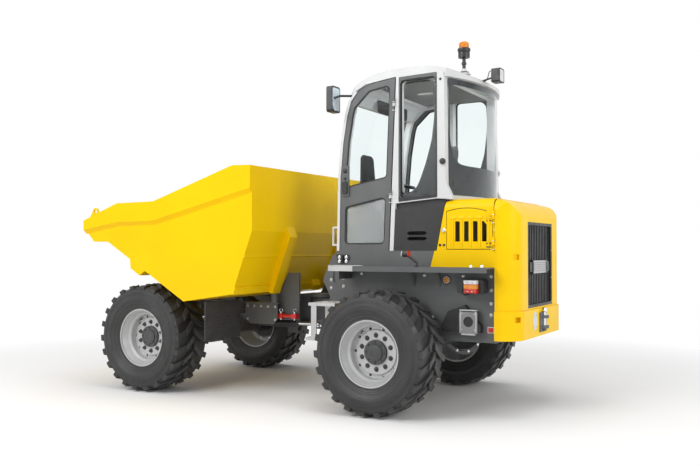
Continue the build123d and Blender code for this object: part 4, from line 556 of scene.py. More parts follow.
def inset(loop, normal, distance):
    result = []
    for back, here, on in zip(loop[-1:] + loop[:-1], loop, loop[1:] + loop[:1]):
        one = normal.cross((here - back).normalized())
        two = normal.cross((on - here).normalized())
        middle = (one + two).normalized()
        result.append(here + middle * distance * MM / max(0.5, middle.dot(one)))
    return result


def reach_of(outline, centre, angle):
    way = Vector((math.cos(angle), math.sin(angle)))
    best = 0.0
    for one, two in zip(outline, outline[1:] + outline[:1]):
        edge = two - one
        offset = one - centre
        cross = way.x * edge.y - way.y * edge.x
        if abs(cross) < 1e-9:
            continue
        distance = (offset.x * edge.y - offset.y * edge.x) / cross
        share = (offset.x * way.y - offset.y * way.x) / cross
        if -1e-6 <= share <= 1 + 1e-6:
            best = max(best, distance)
    return centre + way * best


def printed(name, outer, inner, lay, lift):
    centre = sum(inner, Vector((0, 0))) / len(inner)
    angles = {2 * math.pi * step / PRINT_STEPS for step in range(PRINT_STEPS)}
    for spot in outer + inner:
        way = spot - centre
        angles.add(math.atan2(way.y, way.x) % (2 * math.pi))
    kept = []
    for angle in sorted(angles):
        if not kept or angle - kept[-1] > 1e-3:
            kept.append(angle)
    rings = [[lay(reach_of(line, centre, angle)) for angle in kept] for line in (outer, inner)]
    shape = bmesh.new()
    band(shape, *rings, lift)
    piece(name, shape, "black_plastic", material="glass_ink")


def lead(name, points, diameter):
    curve = bpy.data.curves.new(name, "CURVE")
    curve.dimensions = "3D"
    line = curve.splines.new("NURBS")
    line.points.add(len(points) - 1)
    for control, spot in zip(line.points, points):
        control.co = (*at(*spot), 1)
    line.order_u = 3
    line.use_endpoint_u = True
    curve.resolution_u = 10
    made = linked(name, curve)
    bpy.context.view_layer.update()
    bare = bpy.data.meshes.new_from_object(made)
    bpy.data.meshes.remove(bare)
    curve.bevel_depth = diameter * MM / 2
    curve.bevel_resolution = 3
    curve.use_fill_caps = True
    curve.materials.append(MATERIALS["black_plastic"])
    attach(made, "rear_frame")
    at(*points[0])


# Wheels: nuts, hub bolts, valve and tyre rings
NUT_COUNT, NUT_CIRCLE, NUT_TURN = 10, 152, 0.3
HUB_BOLT_COUNT, HUB_BOLT_CIRCLE = 8, 92
HUB_CAP = [(60, 0), (60, 2), (52, 5), (30, 6), (30, 4), (0, 4)]
VALVE = [(9, 0), (9, 8), (5, 14), (4.2, 44), (5.4, 45), (5.4, 56), (0, 58)]
VALVE_X, VALVE_Z = 150, 178
VALVE_LEAN = Vector((-0.25, 0, -0.3))
TYRE_RINGS = ((326, 9, 3.5), (352, 4, 2.5), (392, 6, 3), (452, 4, 2.5), (466, 4, 2.5))


def tyre_ring(shape, tag, wheel_x, side, face, radius, wide, proud):
    deep = []
    for edge in (-wide, wide):
        point = at(wheel_x, side * HALF_TRACK + face * 500, AXLE_Z - radius - edge)
        deep.append(abs(met(f"tyre_{tag}", point, -OUT[face])[0].y / MM - side * HALF_TRACK))
    low, high = deep
    rise = [(radius - wide, low - 3), (radius - wide, low + 0.4)]
    rise.append((radius - wide * 0.5, (low * 3 + high) / 4 + proud))
    fall = [(radius + wide * 0.5, (low + high * 3) / 4 + proud)]
    fall += [(radius + wide, high + 0.4), (radius + wide, high - 3)]
    lathe(shape, at(wheel_x, side * HALF_TRACK, AXLE_Z), OUT[face], rise + fall, 72, close=True)


for tag, (wheel_x, side) in WHEELS.items():
    body = f"wheel_{tag}"
    out = OUT[side]
    shape = bmesh.new()
    for dx, dz in around(NUT_COUNT, NUT_CIRCLE, NUT_TURN):
        place, _ = side_met(f"rim_{tag}", side, wheel_x + dx, AXLE_Z + dz)
        bolt(shape, place, out, 17, 17)
        lathe(shape, place, out, [(8, 16), (8, 30), (6.5, 32)], 12)
    piece(f"wheel_nuts_{tag}", shape, "hub_iron", body)
    shape = bmesh.new()
    for dx, dz in around(HUB_BOLT_COUNT, HUB_BOLT_CIRCLE):
        bolt(shape, side_met(f"hub_{tag}", side, wheel_x + dx, AXLE_Z + dz)[0], out, 8, 8)
    middle, _ = side_met(f"hub_{tag}", side, wheel_x, AXLE_Z)
    lathe(shape, middle - out * SINK * MM, out, HUB_CAP, 36)
    piece(f"hub_cap_{tag}", shape, "hub_iron", body)
    place = side_met(f"rim_{tag}", side, wheel_x + VALVE_X, AXLE_Z + VALVE_Z)[0] - out * 4 * MM
    turned(f"valve_{tag}", "black_plastic", place, out + VALVE_LEAN, VALVE, 14, body)
    shape = bmesh.new()
    for face in (1, -1):
        for ring in TYRE_RINGS:
            tyre_ring(shape, tag, wheel_x, side, face, *ring)
    piece(f"tyre_rings_{tag}", shape, "tyre_rubber", body, material=TREADS[tag[0]])

# Rubber seals round the flat panes
PANE_FACE = 684
SEAL_EDGE, SEAL_WIDE, SEAL_HIGH = 1.0, 13.0, 9
for name, node_name, side, body in (
    ("door_seals", "door_glass", 1, "cab_door"),
    ("quarter_seals_left", "cab_glass", 1, "rear_frame"),
    ("quarter_seals_right", "cab_glass", -1, "rear_frame"),
):
    shape = bmesh.new()
    out = OUT[side]
    for loop in pane_loops(node_name, out):
        band(shape, inset(loop, out, SEAL_EDGE), inset(loop, out, SEAL_WIDE), out * SEAL_HIGH * MM)
    piece(name, shape, "flap_rubber", body, bevel=3)

# Dark printed borders inside the quarter panes and the rear pane, and dark edges round the quarter panes
PRINT_STEPS = 96
QUARTER_PANE_X = -1400
QUARTER_BORDER_Y = 676.5
QUARTER_EDGE_Y = 699.5
QUARTER_EDGE = [(-1176, 1918), (-1180, 3082), (-1566, 3091), (-1568, 1950)]
QUARTER_CLEAR = [
    (-1204, 3040), (-1480, 3040), (-1527, 2990), (-1533, 2837), (-1529, 2692), (-1504, 2482), (-1445, 2274),
    (-1380, 2104), (-1343, 2039), (-1291, 2008), (-1204, 1995),
]
REAR_R = 1595.4
REAR_CX = REAR_R - 1790
REAR_EDGE = rectangle((-630, 1968), (630, 3040))
REAR_CLEAR = [
    (614, 2480), (614, 2985), (-614, 2985), (-614, 2480), (-575, 2330), (-500, 2262), (-380, 2250),
    (380, 2250), (500, 2262), (575, 2330),
]


def metres(points):
    return [Vector((across * MM, z * MM)) for across, z in points]


def on_side(y):
    def lay(spot):
        return Vector((spot.x, y * MM, spot.y))
    return lay


def on_rear(inside):
    def lay(spot):
        radius = REAR_R - inside
        return at(REAR_CX - math.sqrt(radius ** 2 - (spot.x / MM) ** 2), spot.x / MM, spot.y / MM)
    return lay


def side_outline(loop, out, distance):
    return [Vector((spot.x, spot.z)) for spot in inset(loop, out, distance)]


quarter_clear = rounded(metres(QUARTER_CLEAR), 0.04, 4)
quarter_edge = rounded(metres(QUARTER_EDGE), 0.012, 3)
for name, side in SIDES.items():
    out = OUT[side]
    for loop in pane_loops("cab_glass", out):
        if min(spot.x for spot in loop) > QUARTER_PANE_X * MM:
            continue
        pane = side_outline(loop, out, 2.0)
        printed(f"quarter_border_{name}", pane, quarter_clear, on_side(side * QUARTER_BORDER_Y), out * MM)
        pane = side_outline(loop, out, 0.5)
        printed(f"quarter_edge_{name}", quarter_edge, pane, on_side(side * QUARTER_EDGE_Y), out * 2 * MM)
printed("rear_border", metres(REAR_EDGE), rounded(metres(REAR_CLEAR), 0.06, 4), on_rear(11), AHEAD * MM)

# Knob and screw on the cab corners
knobs = bmesh.new()
rings = bmesh.new()
for side in (1, -1):
    place, normal = side_met("cab_frame", side, -1628, 2272)
    lathe(rings, place - normal * SINK * MM, normal, [(37, 0), (37, 7), (33, 10), (0, 10)], 32)
    lathe(knobs, place, normal, [(18, 9), (26, 12), (29, 24), (24, 36), (12, 42), (0, 43)], 28)
    screw(knobs, *side_met("cab_frame", side, -1600, 3022), 13)
piece("corner_knobs", knobs, "black_plastic")
piece("corner_rings", rings, "white_paint")

# Mirror glass
for name, side in SIDES.items():
    outline = facing_x(-562.4, rectangle((side * 740, 2806), (side * 866, 3024)), 22)
    slab(f"mirror_face_{name}", "rod_chrome", outline, AHEAD * 1.6 * MM, 0.5, material="mirror_face")

# Work lamp: cable from the roof, lens, bezel and cooling fins
WORK_CABLE = [
    (-1812, 172, 3070), (-1840, 172, 3068), (-1862, 176, 3110), (-1870, 172, 3160), (-1890, 160, 3168),
    (-1908, 152, 3150),
]
WORK_LENS = rectangle((95, 3058), (205, 3172))
WORK_BEZEL = rectangle((87, 3049), (213, 3181))
lead("work_lamp_cable", WORK_CABLE, 8)
slab("work_lens", "white_lens", facing_x(-1988, WORK_LENS, 14), AHEAD * 3.5 * MM, 1)
shape = bmesh.new()
band(shape, facing_x(-1990, WORK_BEZEL, 18), facing_x(-1990, WORK_LENS, 14), AHEAD * 12 * MM)
for fin in range(5):
    low = 3066 + fin * 22
    block(shape, 1, (-1908, 100, low), (-1896, 200, low + 7))
piece("work_bezel", shape, "dark_plastic", bevel=1.2)

# Beacon: lens ribs, collar, clamp and foot
BEACON_X, BEACON_Y = -1709, 400
shape = bmesh.new()
for high in range(3352, 3396, 9):
    profile = [(45, 0), (47.4, 1.5), (47.4, 3.5), (45, 5)]
    lathe(shape, at(BEACON_X, BEACON_Y, high), UP, profile, 40, close=True)
piece("beacon_ribs", shape, "amber_lens")
shape = bmesh.new()
profile = [(47, 0), (52, 4), (60, 26), (60, 40), (56, 46), (46.5, 47), (46.5, 8)]
lathe(shape, at(BEACON_X, BEACON_Y, 3303), UP, profile, 40, close=True)
lathe(shape, at(BEACON_X, BEACON_Y, 3196), UP, [(15, 0), (23, 2), (23, 22), (15, 26)], 28, close=True)
piece("beacon_clamp", shape, "black_plastic")
foot = top_met("cab_roof", BEACON_X, BEACON_Y, 3400)[0] - UP * 4 * MM
profile = [(62, 0), (60, 10), (30, 16), (24, 50), (17, 56), (15, 56), (15, 0)]
turned("beacon_foot", "white_paint", foot, UP, profile, 32, close=True)

# Tail lamps, marker lamps and head lamps
TAIL_SECTIONS = (
    ("stop", "lamp_lens", 1096, 1132),
    ("turn", "amber_lens", 1134, 1172),
    ("back", "white_lens", 1174, 1210),
)
TAIL_WIRE = [
    (-1862, 789, 1170), (-1862, 806, 1166), (-1850, 812, 1140), (-1846, 798, 1098), (-1848, 760, 1078),
    (-1850, 706, 1076), (-1850, 662, 1080),
]
TAIL_IN, TAIL_OUT = 792, 848
MARKER_X, MARKER_Y, MARKER_Z = -1375, 957.5, 1440
HEAD_X, HEAD_Y, HEAD_Z = 1950, 330, 850
for name, side in SIDES.items():
    for section, slot_name, low, high in TAIL_SECTIONS:
        shape = bmesh.new()
        block(shape, side, (-1994, TAIL_IN, low), (-1876, TAIL_OUT, high))
        piece(f"tail_{section}_{name}", shape, slot_name, bevel=5)
    shape = bmesh.new()
    for z in (1112, 1194):
        for x in (-1956, -1914):
            screw(shape, at(x, side * TAIL_OUT, z), OUT[side], 6)
    piece(f"tail_screws_{name}", shape, "pin_steel")
    wire = [(x, side * y, z) for x, y, z in TAIL_WIRE]
    lead(f"tail_wire_{name}", wire, 9)
    for part, slot_name, way in (("front", "white_lens", 1), ("rear", "lamp_lens", -1)):
        foot = at(MARKER_X + way * 25, side * MARKER_Y, MARKER_Z)
        profile = [(28, 0), (28, 6), (24, 12), (12, 16), (0, 17)]
        turned(f"marker_{part}_{name}", slot_name, foot, AHEAD * way, profile, 28)
    foot = at(HEAD_X, side * HEAD_Y, HEAD_Z)
    profile = [(50, 4), (50, 8), (36, 13), (16, 15.5), (0, 16)]
    turned(f"head_lens_{name}", "white_lens", foot, AHEAD, profile, 36, "front_frame")
    profile = [(66, 0), (66, 12), (60, 16), (50, 12), (50, 0)]
    turned(f"head_bezel_{name}", "black_plastic", foot, AHEAD, profile, 36, "front_frame", close=True)

# Reflectors and hood latches
SIDE_PLATES = "rear_chassis side_skirts fenders hood_shell"
REFLECTOR_X = -2058
REFLECTOR_Z = 770
for name, side in SIDES.items():
    place, normal = side_met(SIDE_PLATES, side, -1639, 1202)
    foot = place - normal * MM
    profile = [(42, 0), (42, 5), (39, 7), (33, 7), (33, 0)]
    turned(f"side_reflector_ring_{name}", "black_plastic", foot, normal, profile, 36, close=True)
    turned(f"side_reflector_foot_{name}", "white_paint", foot, normal, [(33, 0), (33, 5), (0, 5)], 36)
    profile = [(26, 3.5), (26, 8), (22, 10.5), (0, 11)]
    turned(f"side_reflector_{name}", "amber_lens", place, normal, profile, 36)
    y = abs(side_met("tail_cover rear_chassis", side, REFLECTOR_X, REFLECTOR_Z)[0].y) / MM
    for part, slot_name, half_x, half_z, low, high, bevel in (
        ("rear_reflector_foot", "white_paint", 30, 28, -1, 4, 2),
        ("rear_reflector", "lamp_lens", 23, 21, 3, 9, 2.5),
    ):
        shape = bmesh.new()
        corner = (REFLECTOR_X - half_x, y + low, REFLECTOR_Z - half_z)
        block(shape, side, corner, (REFLECTOR_X + half_x, y + high, REFLECTOR_Z + half_z))
        piece(f"{part}_{name}", shape, slot_name, bevel=bevel)
    place, normal = side_met("hood_shell louvre_door_left louvre_door_right", side, -1632, 1650)
    profile = [(30, 0), (30, 6), (26, 10), (0, 10)]
    turned(f"hood_boss_{name}", "yellow_paint", place - normal * MM, normal, profile, 32)
    profile = [(19, 8), (19, 15), (16, 18), (9, 18), (8, 15), (0, 15)]
    turned(f"hood_latch_{name}", "rod_chrome", place, normal, profile, 28)

# Blank oval plate on the tail cover
OVAL_PIXEL = (535, 321)
OVAL_ACROSS, OVAL_UP = 62, 86
place, normal = photo_met("tail_cover", OVAL_PIXEL)
side_way = UP.cross(normal).normalized()
up_way = normal.cross(side_way)
outline = ellipse(place - normal * MM, side_way * OVAL_ACROSS, up_way * OVAL_UP, 48)
slab("oval_plate", "white_paint", outline, normal * 4.5 * MM, 1.2)
shape = bmesh.new()
for across, up in ((-34, 52), (34, 52), (-34, -52), (34, -52)):
    screw(shape, place + side_way * across * MM + up_way * up * MM + normal * 3.4 * MM, normal, 6)
piece("oval_screws", shape, "pin_steel")

# Louvre doors: mesh behind the slots, hinge pins, hinge bars and scoops
MESH_COLUMNS, MESH_ROWS = 36, 22
MESH_X, MESH_LONG, MESH_Y, MESH_Z, MESH_HIGH = -2060, 340, 691, 1540, 196
LOUVRE_HINGES = (1515, 1745)
SCOOP_IN, SCOOP_OUT = 699, 711
for name, side in SIDES.items():
    body = f"louvre_{name}"
    shape = bmesh.new()
    grid = []
    for row in range(MESH_ROWS + 1):
        z = MESH_Z + MESH_HIGH * row / MESH_ROWS
        places = [MESH_X + MESH_LONG * column / MESH_COLUMNS for column in range(MESH_COLUMNS + 1)]
        grid.append([shape.verts.new(at(x, side * MESH_Y, z)) for x in places])
    for low, high in zip(grid, grid[1:]):
        for column in range(MESH_COLUMNS):
            shape.faces.new((low[column], low[column + 1], high[column + 1], high[column]))
    bmesh.ops.wireframe(
        shape, faces=shape.faces[:], thickness=1.6 * MM, use_replace=True, use_even_offset=True,
        use_boundary=True,
    )
    piece(f"louvre_mesh_{name}", shape, "black_plastic", body)
    pins = bmesh.new()
    bars = bmesh.new()
    for z in LOUVRE_HINGES:
        for way in (1, -1):
            profile = [(9, 0), (13, 0.5), (13, 6), (9, 9), (0, 9.5)]
            lathe(pins, at(-2098, side * 714, z + way * 33.6), UP * way, profile, 20)
            middle = z + way * 16
            block(bars, side, (-2082, 699, middle - 4), (-2034, 707, middle + 4))
    piece(f"louvre_pins_{name}", pins, "rod_chrome")
    piece(f"louvre_bars_{name}", bars, "black_plastic", body, bevel=2)
    shape = bmesh.new()
    for slot in range(5):
        x = -1716 - 84 * slot
        corners = [
            (x - 30, SCOOP_IN, 1752), (x + 30, SCOOP_IN, 1752), (x - 30, SCOOP_OUT, 1752),
            (x + 30, SCOOP_OUT, 1752), (x + 22, SCOOP_IN, 1782), (x - 22, SCOOP_IN, 1782),
        ]
        spots = [shape.verts.new(at(px, side * py, pz)) for px, py, pz in corners]
        for face in ((2, 3, 4, 5), (0, 1, 3, 2), (0, 2, 5), (1, 4, 3), (0, 5, 4, 1)):
            shape.faces.new([spots[index] for index in face])
    piece(f"louvre_scoops_{name}", shape, "yellow_paint", body, bevel=1.5)

# Cab door: hinge caps and lever
DOOR_FACE = 716
shape = bmesh.new()
for z, x in ((1955, -1098), (2815, -1135)):
    for way in (-1, 1):
        profile = [(12, 0), (14, 1), (14, 5), (8, 8), (0, 8)]
        lathe(shape, at(x, DOOR_FACE, z + way * 36), UP * way, profile, 20)
piece("hinge_caps", shape, "white_paint")
shape = bmesh.new()
lathe(shape, at(-612, DOOR_FACE, 2232), OUT[1], [(22, 0), (22, 6), (18, 14), (8, 16), (0, 16)], 28)
lathe(shape, at(-612, DOOR_FACE, 2160), OUT[1], [(11, 0), (11, 18), (8, 20), (0, 20)], 20)
outline = facing_y(722, [(-640, 2010), (-586, 2010), (-584, 2130), (-638, 2130)], 18)
plate(shape, outline, OUT[1] * 14 * MM)
piece("door_lever", shape, "black_plastic", "cab_door", bevel=3)

# Grille plate with its dimples, brackets and screws; the dimples are black discs of painted shade
PLATE_HALF = 196
PLATE_FACE = -2299
outline = facing_x(-2294, rectangle((-PLATE_HALF, 1258), (PLATE_HALF, 1376)), 10)
slab("grille_plate", "tread_plate", outline, AHEAD * -5 * MM, 1)
# Rows of black discs on the plate: painted shade in its dimples
shape = bmesh.new()
for row in range(5):
    for column in range(15):
        place = at(PLATE_FACE, -168 + column * 24, 1279 + row * 19)
        lathe(shape, place, -AHEAD, [(4.2, -1), (4.2, 0.4), (3.4, 0.5), (0, 0.1)], 10)
piece("grille_hole_shade", shape, "black_plastic")
brackets = bmesh.new()
screws = bmesh.new()
for side in (1, -1):
    block(brackets, side, (-2303, 190, 1250), (-2281, 226, 1384))
    block(brackets, side, (-2298, 224, 1272), (-2281, 300, 1362))
    for z in (1272, 1362):
        screw(screws, at(-2303, side * 208, z), -AHEAD, 7)
    for z in (975, 1205, 1470, 1700):
        screw(screws, *met("grille tail_cover", at(-2600, side * 368, z), AHEAD), 8)
piece("grille_brackets", brackets, "black_plastic", bevel=2)
piece("grille_screws", screws, "pin_steel")

# Chrome tow pin with a ball head, cap nuts on the ledges, and the chock holder's tabs and bolts
TOW_X = -2338
BALL = 28
LEDGES = "fenders rear_chassis"
LEDGE_Y, OVER_LEDGE = 860, 1700
turns = [0.4 * step for step in range(-3, 4)]
profile = [(0, -BALL), *((BALL * math.cos(turn), BALL * math.sin(turn)) for turn in turns), (0, BALL)]
shape = bmesh.new()
lathe(shape, at(TOW_X, 0, 913), UP, profile, 28)
lathe(shape, at(TOW_X, 0, 772), UP, [(18.2, 0), (18.2, 70)], 28)
lathe(shape, at(TOW_X, 0, 868), UP, [(24, 0), (24, 7), (18.5, 10), (18.5, 24)], 28)
piece("tow_pin", shape, "rod_chrome")
shape = bmesh.new()
for side in (1, -1):
    for x in (-2050, -1950):
        place, normal = top_met(LEDGES, x, side * LEDGE_Y, OVER_LEDGE)
        bolt(shape, place, normal, 15, 14)
        lathe(shape, place, normal, [(14, 13), (12, 22), (6, 26), (0, 27)], 20)
piece("ledge_caps", shape, "rod_chrome")
shape = bmesh.new()
block(shape, 1, (-1955, 690, 935), (-1795, 742, 947))
block(shape, 1, (-1940, 724, 722), (-1810, 742, 736))
for x in (-1948, -1802):
    block(shape, 1, (x - 6, 728, 748), (x + 6, 742, 932))
piece("holder_tabs", shape, "tread_plate", bevel=3)
shape = bmesh.new()
for x, z in rectangle((-1940, 768), (-1810, 912)):
    bolt(shape, *side_met("chock_holder", 1, x, z), 9, 8)
piece("holder_bolts", shape, "pin_steel")

# Bolts on the frames and the hood
REAR_BOLTS = [
    (-520, 1380), (-600, 1380), (-420, 1180), (-420, 1100), (-560, 1200), (-560, 1120), (-760, 1250),
    (-1420, 1240), (-1500, 760), (-1500, 860), (-2060, 1240), (-2060, 1120), (-2060, 1000), (-2060, 900),
    (-1800, 1240),
]
PIVOT_BOLTS = [(330, 885), (420, 885), (510, 885), (600, 885), (685, 885), (330, 750), (685, 750)]
FRONT_BOLTS = [(1000, 840), (1200, 840), (1400, 840), (1750, 840)]
HOOD_BOLTS = [(-1593, 1517), (-1632, 1517)]
shape = bmesh.new()
side_bolts(shape, "rear_chassis side_skirts", REAR_BOLTS, 12, 10)
piece("rear_frame_bolts", shape, "pin_steel")
shape = bmesh.new()
side_bolts(shape, "front_chassis", PIVOT_BOLTS, 11, 9)
side_bolts(shape, "front_chassis", FRONT_BOLTS, 12, 10)
piece("front_frame_bolts", shape, "pin_steel", "front_frame")
shape = bmesh.new()
side_bolts(shape, "hood_shell cab_side_panels cab_frame", HOOD_BOLTS, 9, 8)
piece("hood_bolts", shape, "black_plastic")

# Tread plates on the ledges and treads on the steps
TREAD_BACK, TREAD_FRONT = -800, -536
STEPS = ((-655, -365, 975), (-495, -335, 647))
shape = bmesh.new()
for side in (1, -1):
    top = top_met(LEDGES, -700, side * LEDGE_Y, OVER_LEDGE)[0].z / MM
    block(shape, side, (TREAD_BACK, 661, top - 1), (TREAD_FRONT, 903, top + 4))
    block(shape, side, (TREAD_BACK, 897, top - 46), (TREAD_FRONT, 909, top + 4))
    for row in range(4):
        for tooth in range(15):
            place = at(-790 + tooth * 17.4, side * (716 + row * 50), top + 3.6)
            lathe(shape, place, UP, [(7, 0), (6, 4), (3.5, 4.5), (3, 2), (0, 2)], 10)
    for tooth in range(16):
        x = -794 + tooth * 16.8
        outline = [at(x + dx, side * 898, top + high) for dx, high in ((0, 3), (12, 3), (6, 13))]
        plate(shape, outline, OUT[side] * 10 * MM)
piece("ledge_treads", shape, "tread_plate", bevel=0.6)
shape = bmesh.new()
for back, front, high in STEPS:
    for side in (1, -1):
        top = top_met("steps", (back + front) / 2, side * 900, high + 200)[0].z / MM
        for row in range(5):
            for tooth in range(int((front - back - 40) / 24)):
                place = at(back + 32 + tooth * 24, side * (735 + row * 50), top - 0.5)
                lathe(shape, place, UP, [(8, 0), (7, 4), (4.4, 4.6), (4, 2), (0, 2)], 10)
piece("step_treads", shape, "tread_plate")

# Cab mounts
MOUNT = [(-504, 1428), (-650, 1428), (-662, 1392), (-630, 1342), (-522, 1342)]
mount_y = side_met("rear_chassis cab_base", 1, -580, 1385)[0].y / MM
mounts = bmesh.new()
bolts = bmesh.new()
for side in (1, -1):
    plate(mounts, [at(x, side * (mount_y - 1), z) for x, z in MOUNT], OUT[side] * 7 * MM)
    block(mounts, side, (-585, mount_y, 1352), (-573, mount_y + 26, 1420))
    for x, z in rectangle((-616, 1362), (-540, 1402)):
        bolt(bolts, at(x, side * (mount_y + 6), z), OUT[side], 12, 11)
piece("cab_mounts", mounts, "black_plastic", bevel=2.5)
piece("cab_mount_bolts", bolts, "rod_chrome")

# Seat cushions, filled by pressure
PAD_EDGE = 26
PAD_GRID = 6
PAD_SWELL = 22
PAD_PRESSURE = 4
PAD_FRAMES = 20
PAN_TOP = 1900
PAN = [(-1352, 1853), (-918, 1853), (-918, 1902), (-1352, 1912)]
BACK = [(-1352, 1950), (-1268, 1950), (-1338, 2530), (-1412, 2530)]
PAN_HALF, BACK_HALF = 222, 212
PAN_SEAM, BACK_SEAM = 150, 140


def evaluated(made):
    return bpy.data.meshes.new_from_object(made.evaluated_get(bpy.context.evaluated_depsgraph_get()))


def fill(made):
    before = [vertex.co.copy() for vertex in made.data.vertices]
    cloth = made.modifiers.new("fill", "CLOTH")
    cloth.settings.use_pressure = True
    cloth.settings.uniform_pressure_force = PAD_PRESSURE
    cloth.settings.effector_weights.gravity = 0
    cloth.settings.quality = 4
    cloth.point_cache.frame_start = 1
    cloth.point_cache.frame_end = PAD_FRAMES
    for step in range(1, PAD_FRAMES + 1):
        bpy.context.scene.frame_set(step)
    filled = evaluated(made)
    made.modifiers.clear()
    made.data = filled
    bpy.context.scene.frame_set(1)
    for vertex, start in zip(filled.vertices, before):
        move = vertex.co - start
        if move.length > PAD_SWELL * MM:
            vertex.co = start + move.normalized() * PAD_SWELL * MM


def pad_shape(name, outline, half, groove):
    shape = bmesh.new()
    plate(shape, [at(x, -half, z) for x, z in outline], OUT[1] * 2 * half * MM)
    bmesh.ops.recalc_face_normals(shape, faces=shape.faces)
    made = meshed(name, shape)
    bpy.context.view_layer.objects.active = made
    edge = made.modifiers.new("edge", "BEVEL")
    edge.width = PAD_EDGE * MM
    edge.segments = 4
    grid = made.modifiers.new("grid", "REMESH")
    grid.mode = "VOXEL"
    grid.voxel_size = PAD_GRID * MM
    bpy.context.view_layer.update()
    whole = evaluated(made)
    made.modifiers.clear()
    made.data = whole
    fill(made)
    for vertex in made.data.vertices:
        vertex.co -= vertex.normal * groove(vertex.co) * MM
    smooth = made.modifiers.new("smooth", "SUBSURF")
    smooth.levels = 1
    smooth.render_levels = 1
    dress(made, "seat_fabric")
    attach(made, "rear_frame")
    return made


def channel(value, places, deep):
    return sum(deep * math.exp(-((value - place) / 7) ** 2) for place in places)


def pan_groove(spot):
    x, y = spot.x / MM, abs(spot.y / MM)
    if spot.z < PAN_TOP * MM:
        return 0.0
    return channel(x, (-1020, -1130, -1240), 9) * (1 if y < PAN_SEAM else 0) + channel(y, (PAN_SEAM,), 10)


def back_groove(spot):
    y, z = abs(spot.y / MM), spot.z / MM
    return channel(z, (2080, 2190, 2300), 9) * (1 if y < BACK_SEAM else 0) + channel(y, (BACK_SEAM,), 10)


pan = pad_shape("seat_pan", PAN, PAN_HALF, pan_groove)
back = pad_shape("seat_back", BACK, BACK_HALF, back_groove)
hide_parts("seat")
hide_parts("seat")

# Cab inside: headliner, roof lamp, visor, steering wheel boss, side lever and dash
LEVER_Y, LEVER_Z = -490, 1934
POD = [(-596, 1868), (-690, 1868), (-700, 2120), (-676, 2390), (-640, 2425), (-606, 2400)]
outline = facing_z(3030, rectangle((-1600, -590), (-800, 590)), 90)
slab("headliner", "white_paint", outline, UP * 14 * MM, 5, material="headliner")
slab("roof_lamp", "white_lens", ellipse(at(-1180, 120, 3018), AHEAD * 85, OUT[1] * 40, 40), UP * 13 * MM, 5)
outline = facing_x(-760, rectangle((-330, 2840), (330, 3000)), 40)
slab("sun_visor", "dark_plastic", outline, at(-9, 0, 3), 3)
profile = [(52, -4), (52, 20), (44, 30), (20, 33), (0, 33)]
turned("wheel_boss", "black_plastic", at(-800, 0, 2145), (-0.35, 0, 1), profile, 32)
shape = bmesh.new()
profile = [(34, 0), (30, 12), (20, 34), (12, 44), (8, 46), (7, 150), (0, 150)]
lathe(shape, at(-960, LEVER_Y, LEVER_Z), UP, profile)
profile = [(8, 0), (20, 8), (24, 34), (21, 62), (12, 76), (0, 78)]
lathe(shape, at(-960, LEVER_Y, LEVER_Z + 144), UP, profile)
for knob in range(4):
    lathe(shape, at(-1070 - knob * 46, LEVER_Y, LEVER_Z), UP, [(13, 0), (13, 9), (10, 12), (0, 12)], 16)
piece("side_lever", shape, "black_plastic")
top = top_met("dash_console", -700, 0, 2400)[0].z / MM
outline = facing_z(top - 1, rectangle((-744, -76), (-676, 76)), 20)
slab("dash_bezel", "black_plastic", outline, UP * 8 * MM, 2)
outline = facing_z(top + 6, rectangle((-736, -64), (-684, 64)), 12)
slab("dash_screen", "clear_glass", outline, UP * 2.5 * MM, 0.8, material="screen")
slab("dash_pod", "dark_plastic", facing_y(250, POD, 34), OUT[1] * 160 * MM, 9)

# Grey see-through sheet inside the lower door pane: painted shade that darkens the view into the cab
out = OUT[1]
lowest = min(pane_loops("door_glass", out), key=lambda loop: min(spot.z for spot in loop))
outline = [spot - out * 10.5 * MM for spot in inset(lowest, out, 3.0)]
slab("door_shade_sheet", "clear_glass", outline, out * 1.2 * MM, body="cab_door", material="pane_shade_sheet")

# Sill strip under the rear pane
SILL_STEPS = 40
SILL_HALF, SILL_Z = 640, 1952
sill = metres([(SILL_HALF - 2 * SILL_HALF * step / SILL_STEPS, SILL_Z) for step in range(SILL_STEPS + 1)])
outline = [on_rear(-7)(spot) for spot in sill] + [on_rear(6)(spot) for spot in reversed(sill)]
slab("rear_sill_strip", "white_paint", outline, UP * 18 * MM, 2)

# Lock bar pins with their pull rings
shape = bmesh.new()
for x in (122, 292):
    lathe(shape, at(x, 490, 812), UP, [(11, -64), (11, 14), (17, 15), (17, 22), (12, 25), (0, 25)], 20)
    lathe(shape, at(x, 490, 846), OUT[1], [(19, -2.2), (21.5, 0), (19, 2.2), (16.5, 0)], 24, close=True)
piece("lock_pins", shape, "rod_chrome", "front_frame")

# Wiper on the front pane
WIPER_OFF = 16
ARM = [(-60, 1640), (60, 1652), (180, 1664), (300, 1676)]
BLADE = [(60, 1690), (220, 1690), (380, 1690), (540, 1690)]


def on_front(points):
    return [met("cab_glass", at(200, y, z), -AHEAD) for y, z in points]


line = on_front(ARM)
shape = bmesh.new()
for (one, normal), (two, _) in zip(line, line[1:]):
    across = normal.cross(two - one).normalized() * 7 * MM
    base = one + normal * WIPER_OFF * MM
    tip = two + normal * WIPER_OFF * MM
    plate(shape, [base - across, base + across, tip + across, tip - across], normal * 8 * MM)
lathe(shape, *line[0], [(20, -2), (20, 22), (15, 28), (0, 29)])
piece("wiper_arm", shape, "black_plastic", bevel=2)
line = on_front(BLADE)
shape = bmesh.new()
for (one, normal), (two, _) in zip(line, line[1:]):
    across = UP * 5 * MM
    plate(shape, [one - across, one + across, two + across, two - across], normal * 14 * MM)
    lathe(shape, (one + two) / 2 + normal * 12 * MM, normal, [(6, 0), (6, 12), (4, 14), (0, 14)], 12)
piece("wiper_blade", shape, "flap_rubber", bevel=1.5)

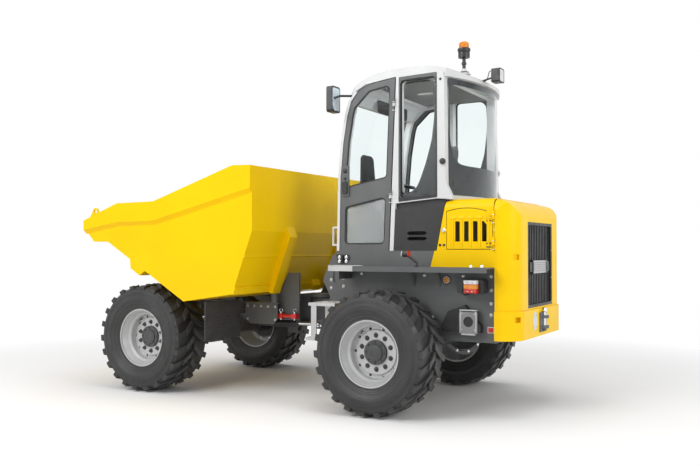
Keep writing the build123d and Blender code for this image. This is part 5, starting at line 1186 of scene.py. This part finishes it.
# Floor that fades into the white backdrop, and soft studio light
FLOOR_HALF = 60
FADE_START, FADE_END = 2.8, 6.5
AMBIENT = 0.42


def make_floor():
    shape = bmesh.new()
    bmesh.ops.create_grid(shape, x_segments=8, y_segments=8, size=FLOOR_HALF)
    floor = meshed("floor", shape)
    tree, shader = new_material("floor")
    set_inputs(shader, {"Roughness": 0.9})
    colour = mottled(tree, 0.6, 4.0, (0.9, 0.9, 0.9), (0.93, 0.93, 0.93))
    tree.links.new(colour, shader.inputs["Base Color"])
    coords = tree.nodes.new("ShaderNodeTexCoord")
    away = spread(tree, length_of(tree, coords.outputs["Object"]), 0.0, 1.0, FADE_START, FADE_END)
    glow = tree.nodes.new("ShaderNodeEmission")
    blend_shaders(tree, away, shader.outputs["BSDF"], glow.outputs["Emission"], "Material Output")
    floor.data.materials.append(MATERIALS["floor"])


def make_world():
    world = bpy.data.worlds.new("studio")
    bpy.context.scene.world = world
    world.use_nodes = True
    tree = world.node_tree
    light = tree.nodes["Background"]
    white = tree.nodes.new("ShaderNodeBackground")
    path = tree.nodes.new("ShaderNodeLightPath")
    visible = path.outputs["Is Camera Ray"]
    for other in ("Is Glossy Ray", "Is Transmission Ray"):
        visible = combined(tree, "MAXIMUM", visible, path.outputs[other])
    set_inputs(light, {"Color": (1, 1, 1, 1), "Strength": AMBIENT})
    set_inputs(white, {"Color": (1, 1, 1, 1)})
    blend_shaders(tree, visible, light.outputs["Background"], white.outputs["Background"], "World Output")


def softbox(name, place, target, size, power):
    data = bpy.data.lights.new(name, "AREA")
    data.shape = "RECTANGLE"
    data.size, data.size_y = size
    data.energy = power
    lamp = linked(name, data)
    lamp.location = place
    lamp.rotation_mode = "QUATERNION"
    lamp.rotation_quaternion = (Vector(target) - Vector(place)).to_track_quat("-Z", "Y")


make_floor()
make_world()
softbox("key", (2.0, 7.5, 6.0), (0, 0, 1.2), (5, 4), 400)
softbox("top", (0, 0, 8.5), (0, 0, 0), (8, 6), 300)
softbox("rear", (-8.0, 2.0, 3.5), (0, 0, 1.2), (4, 3), 190)
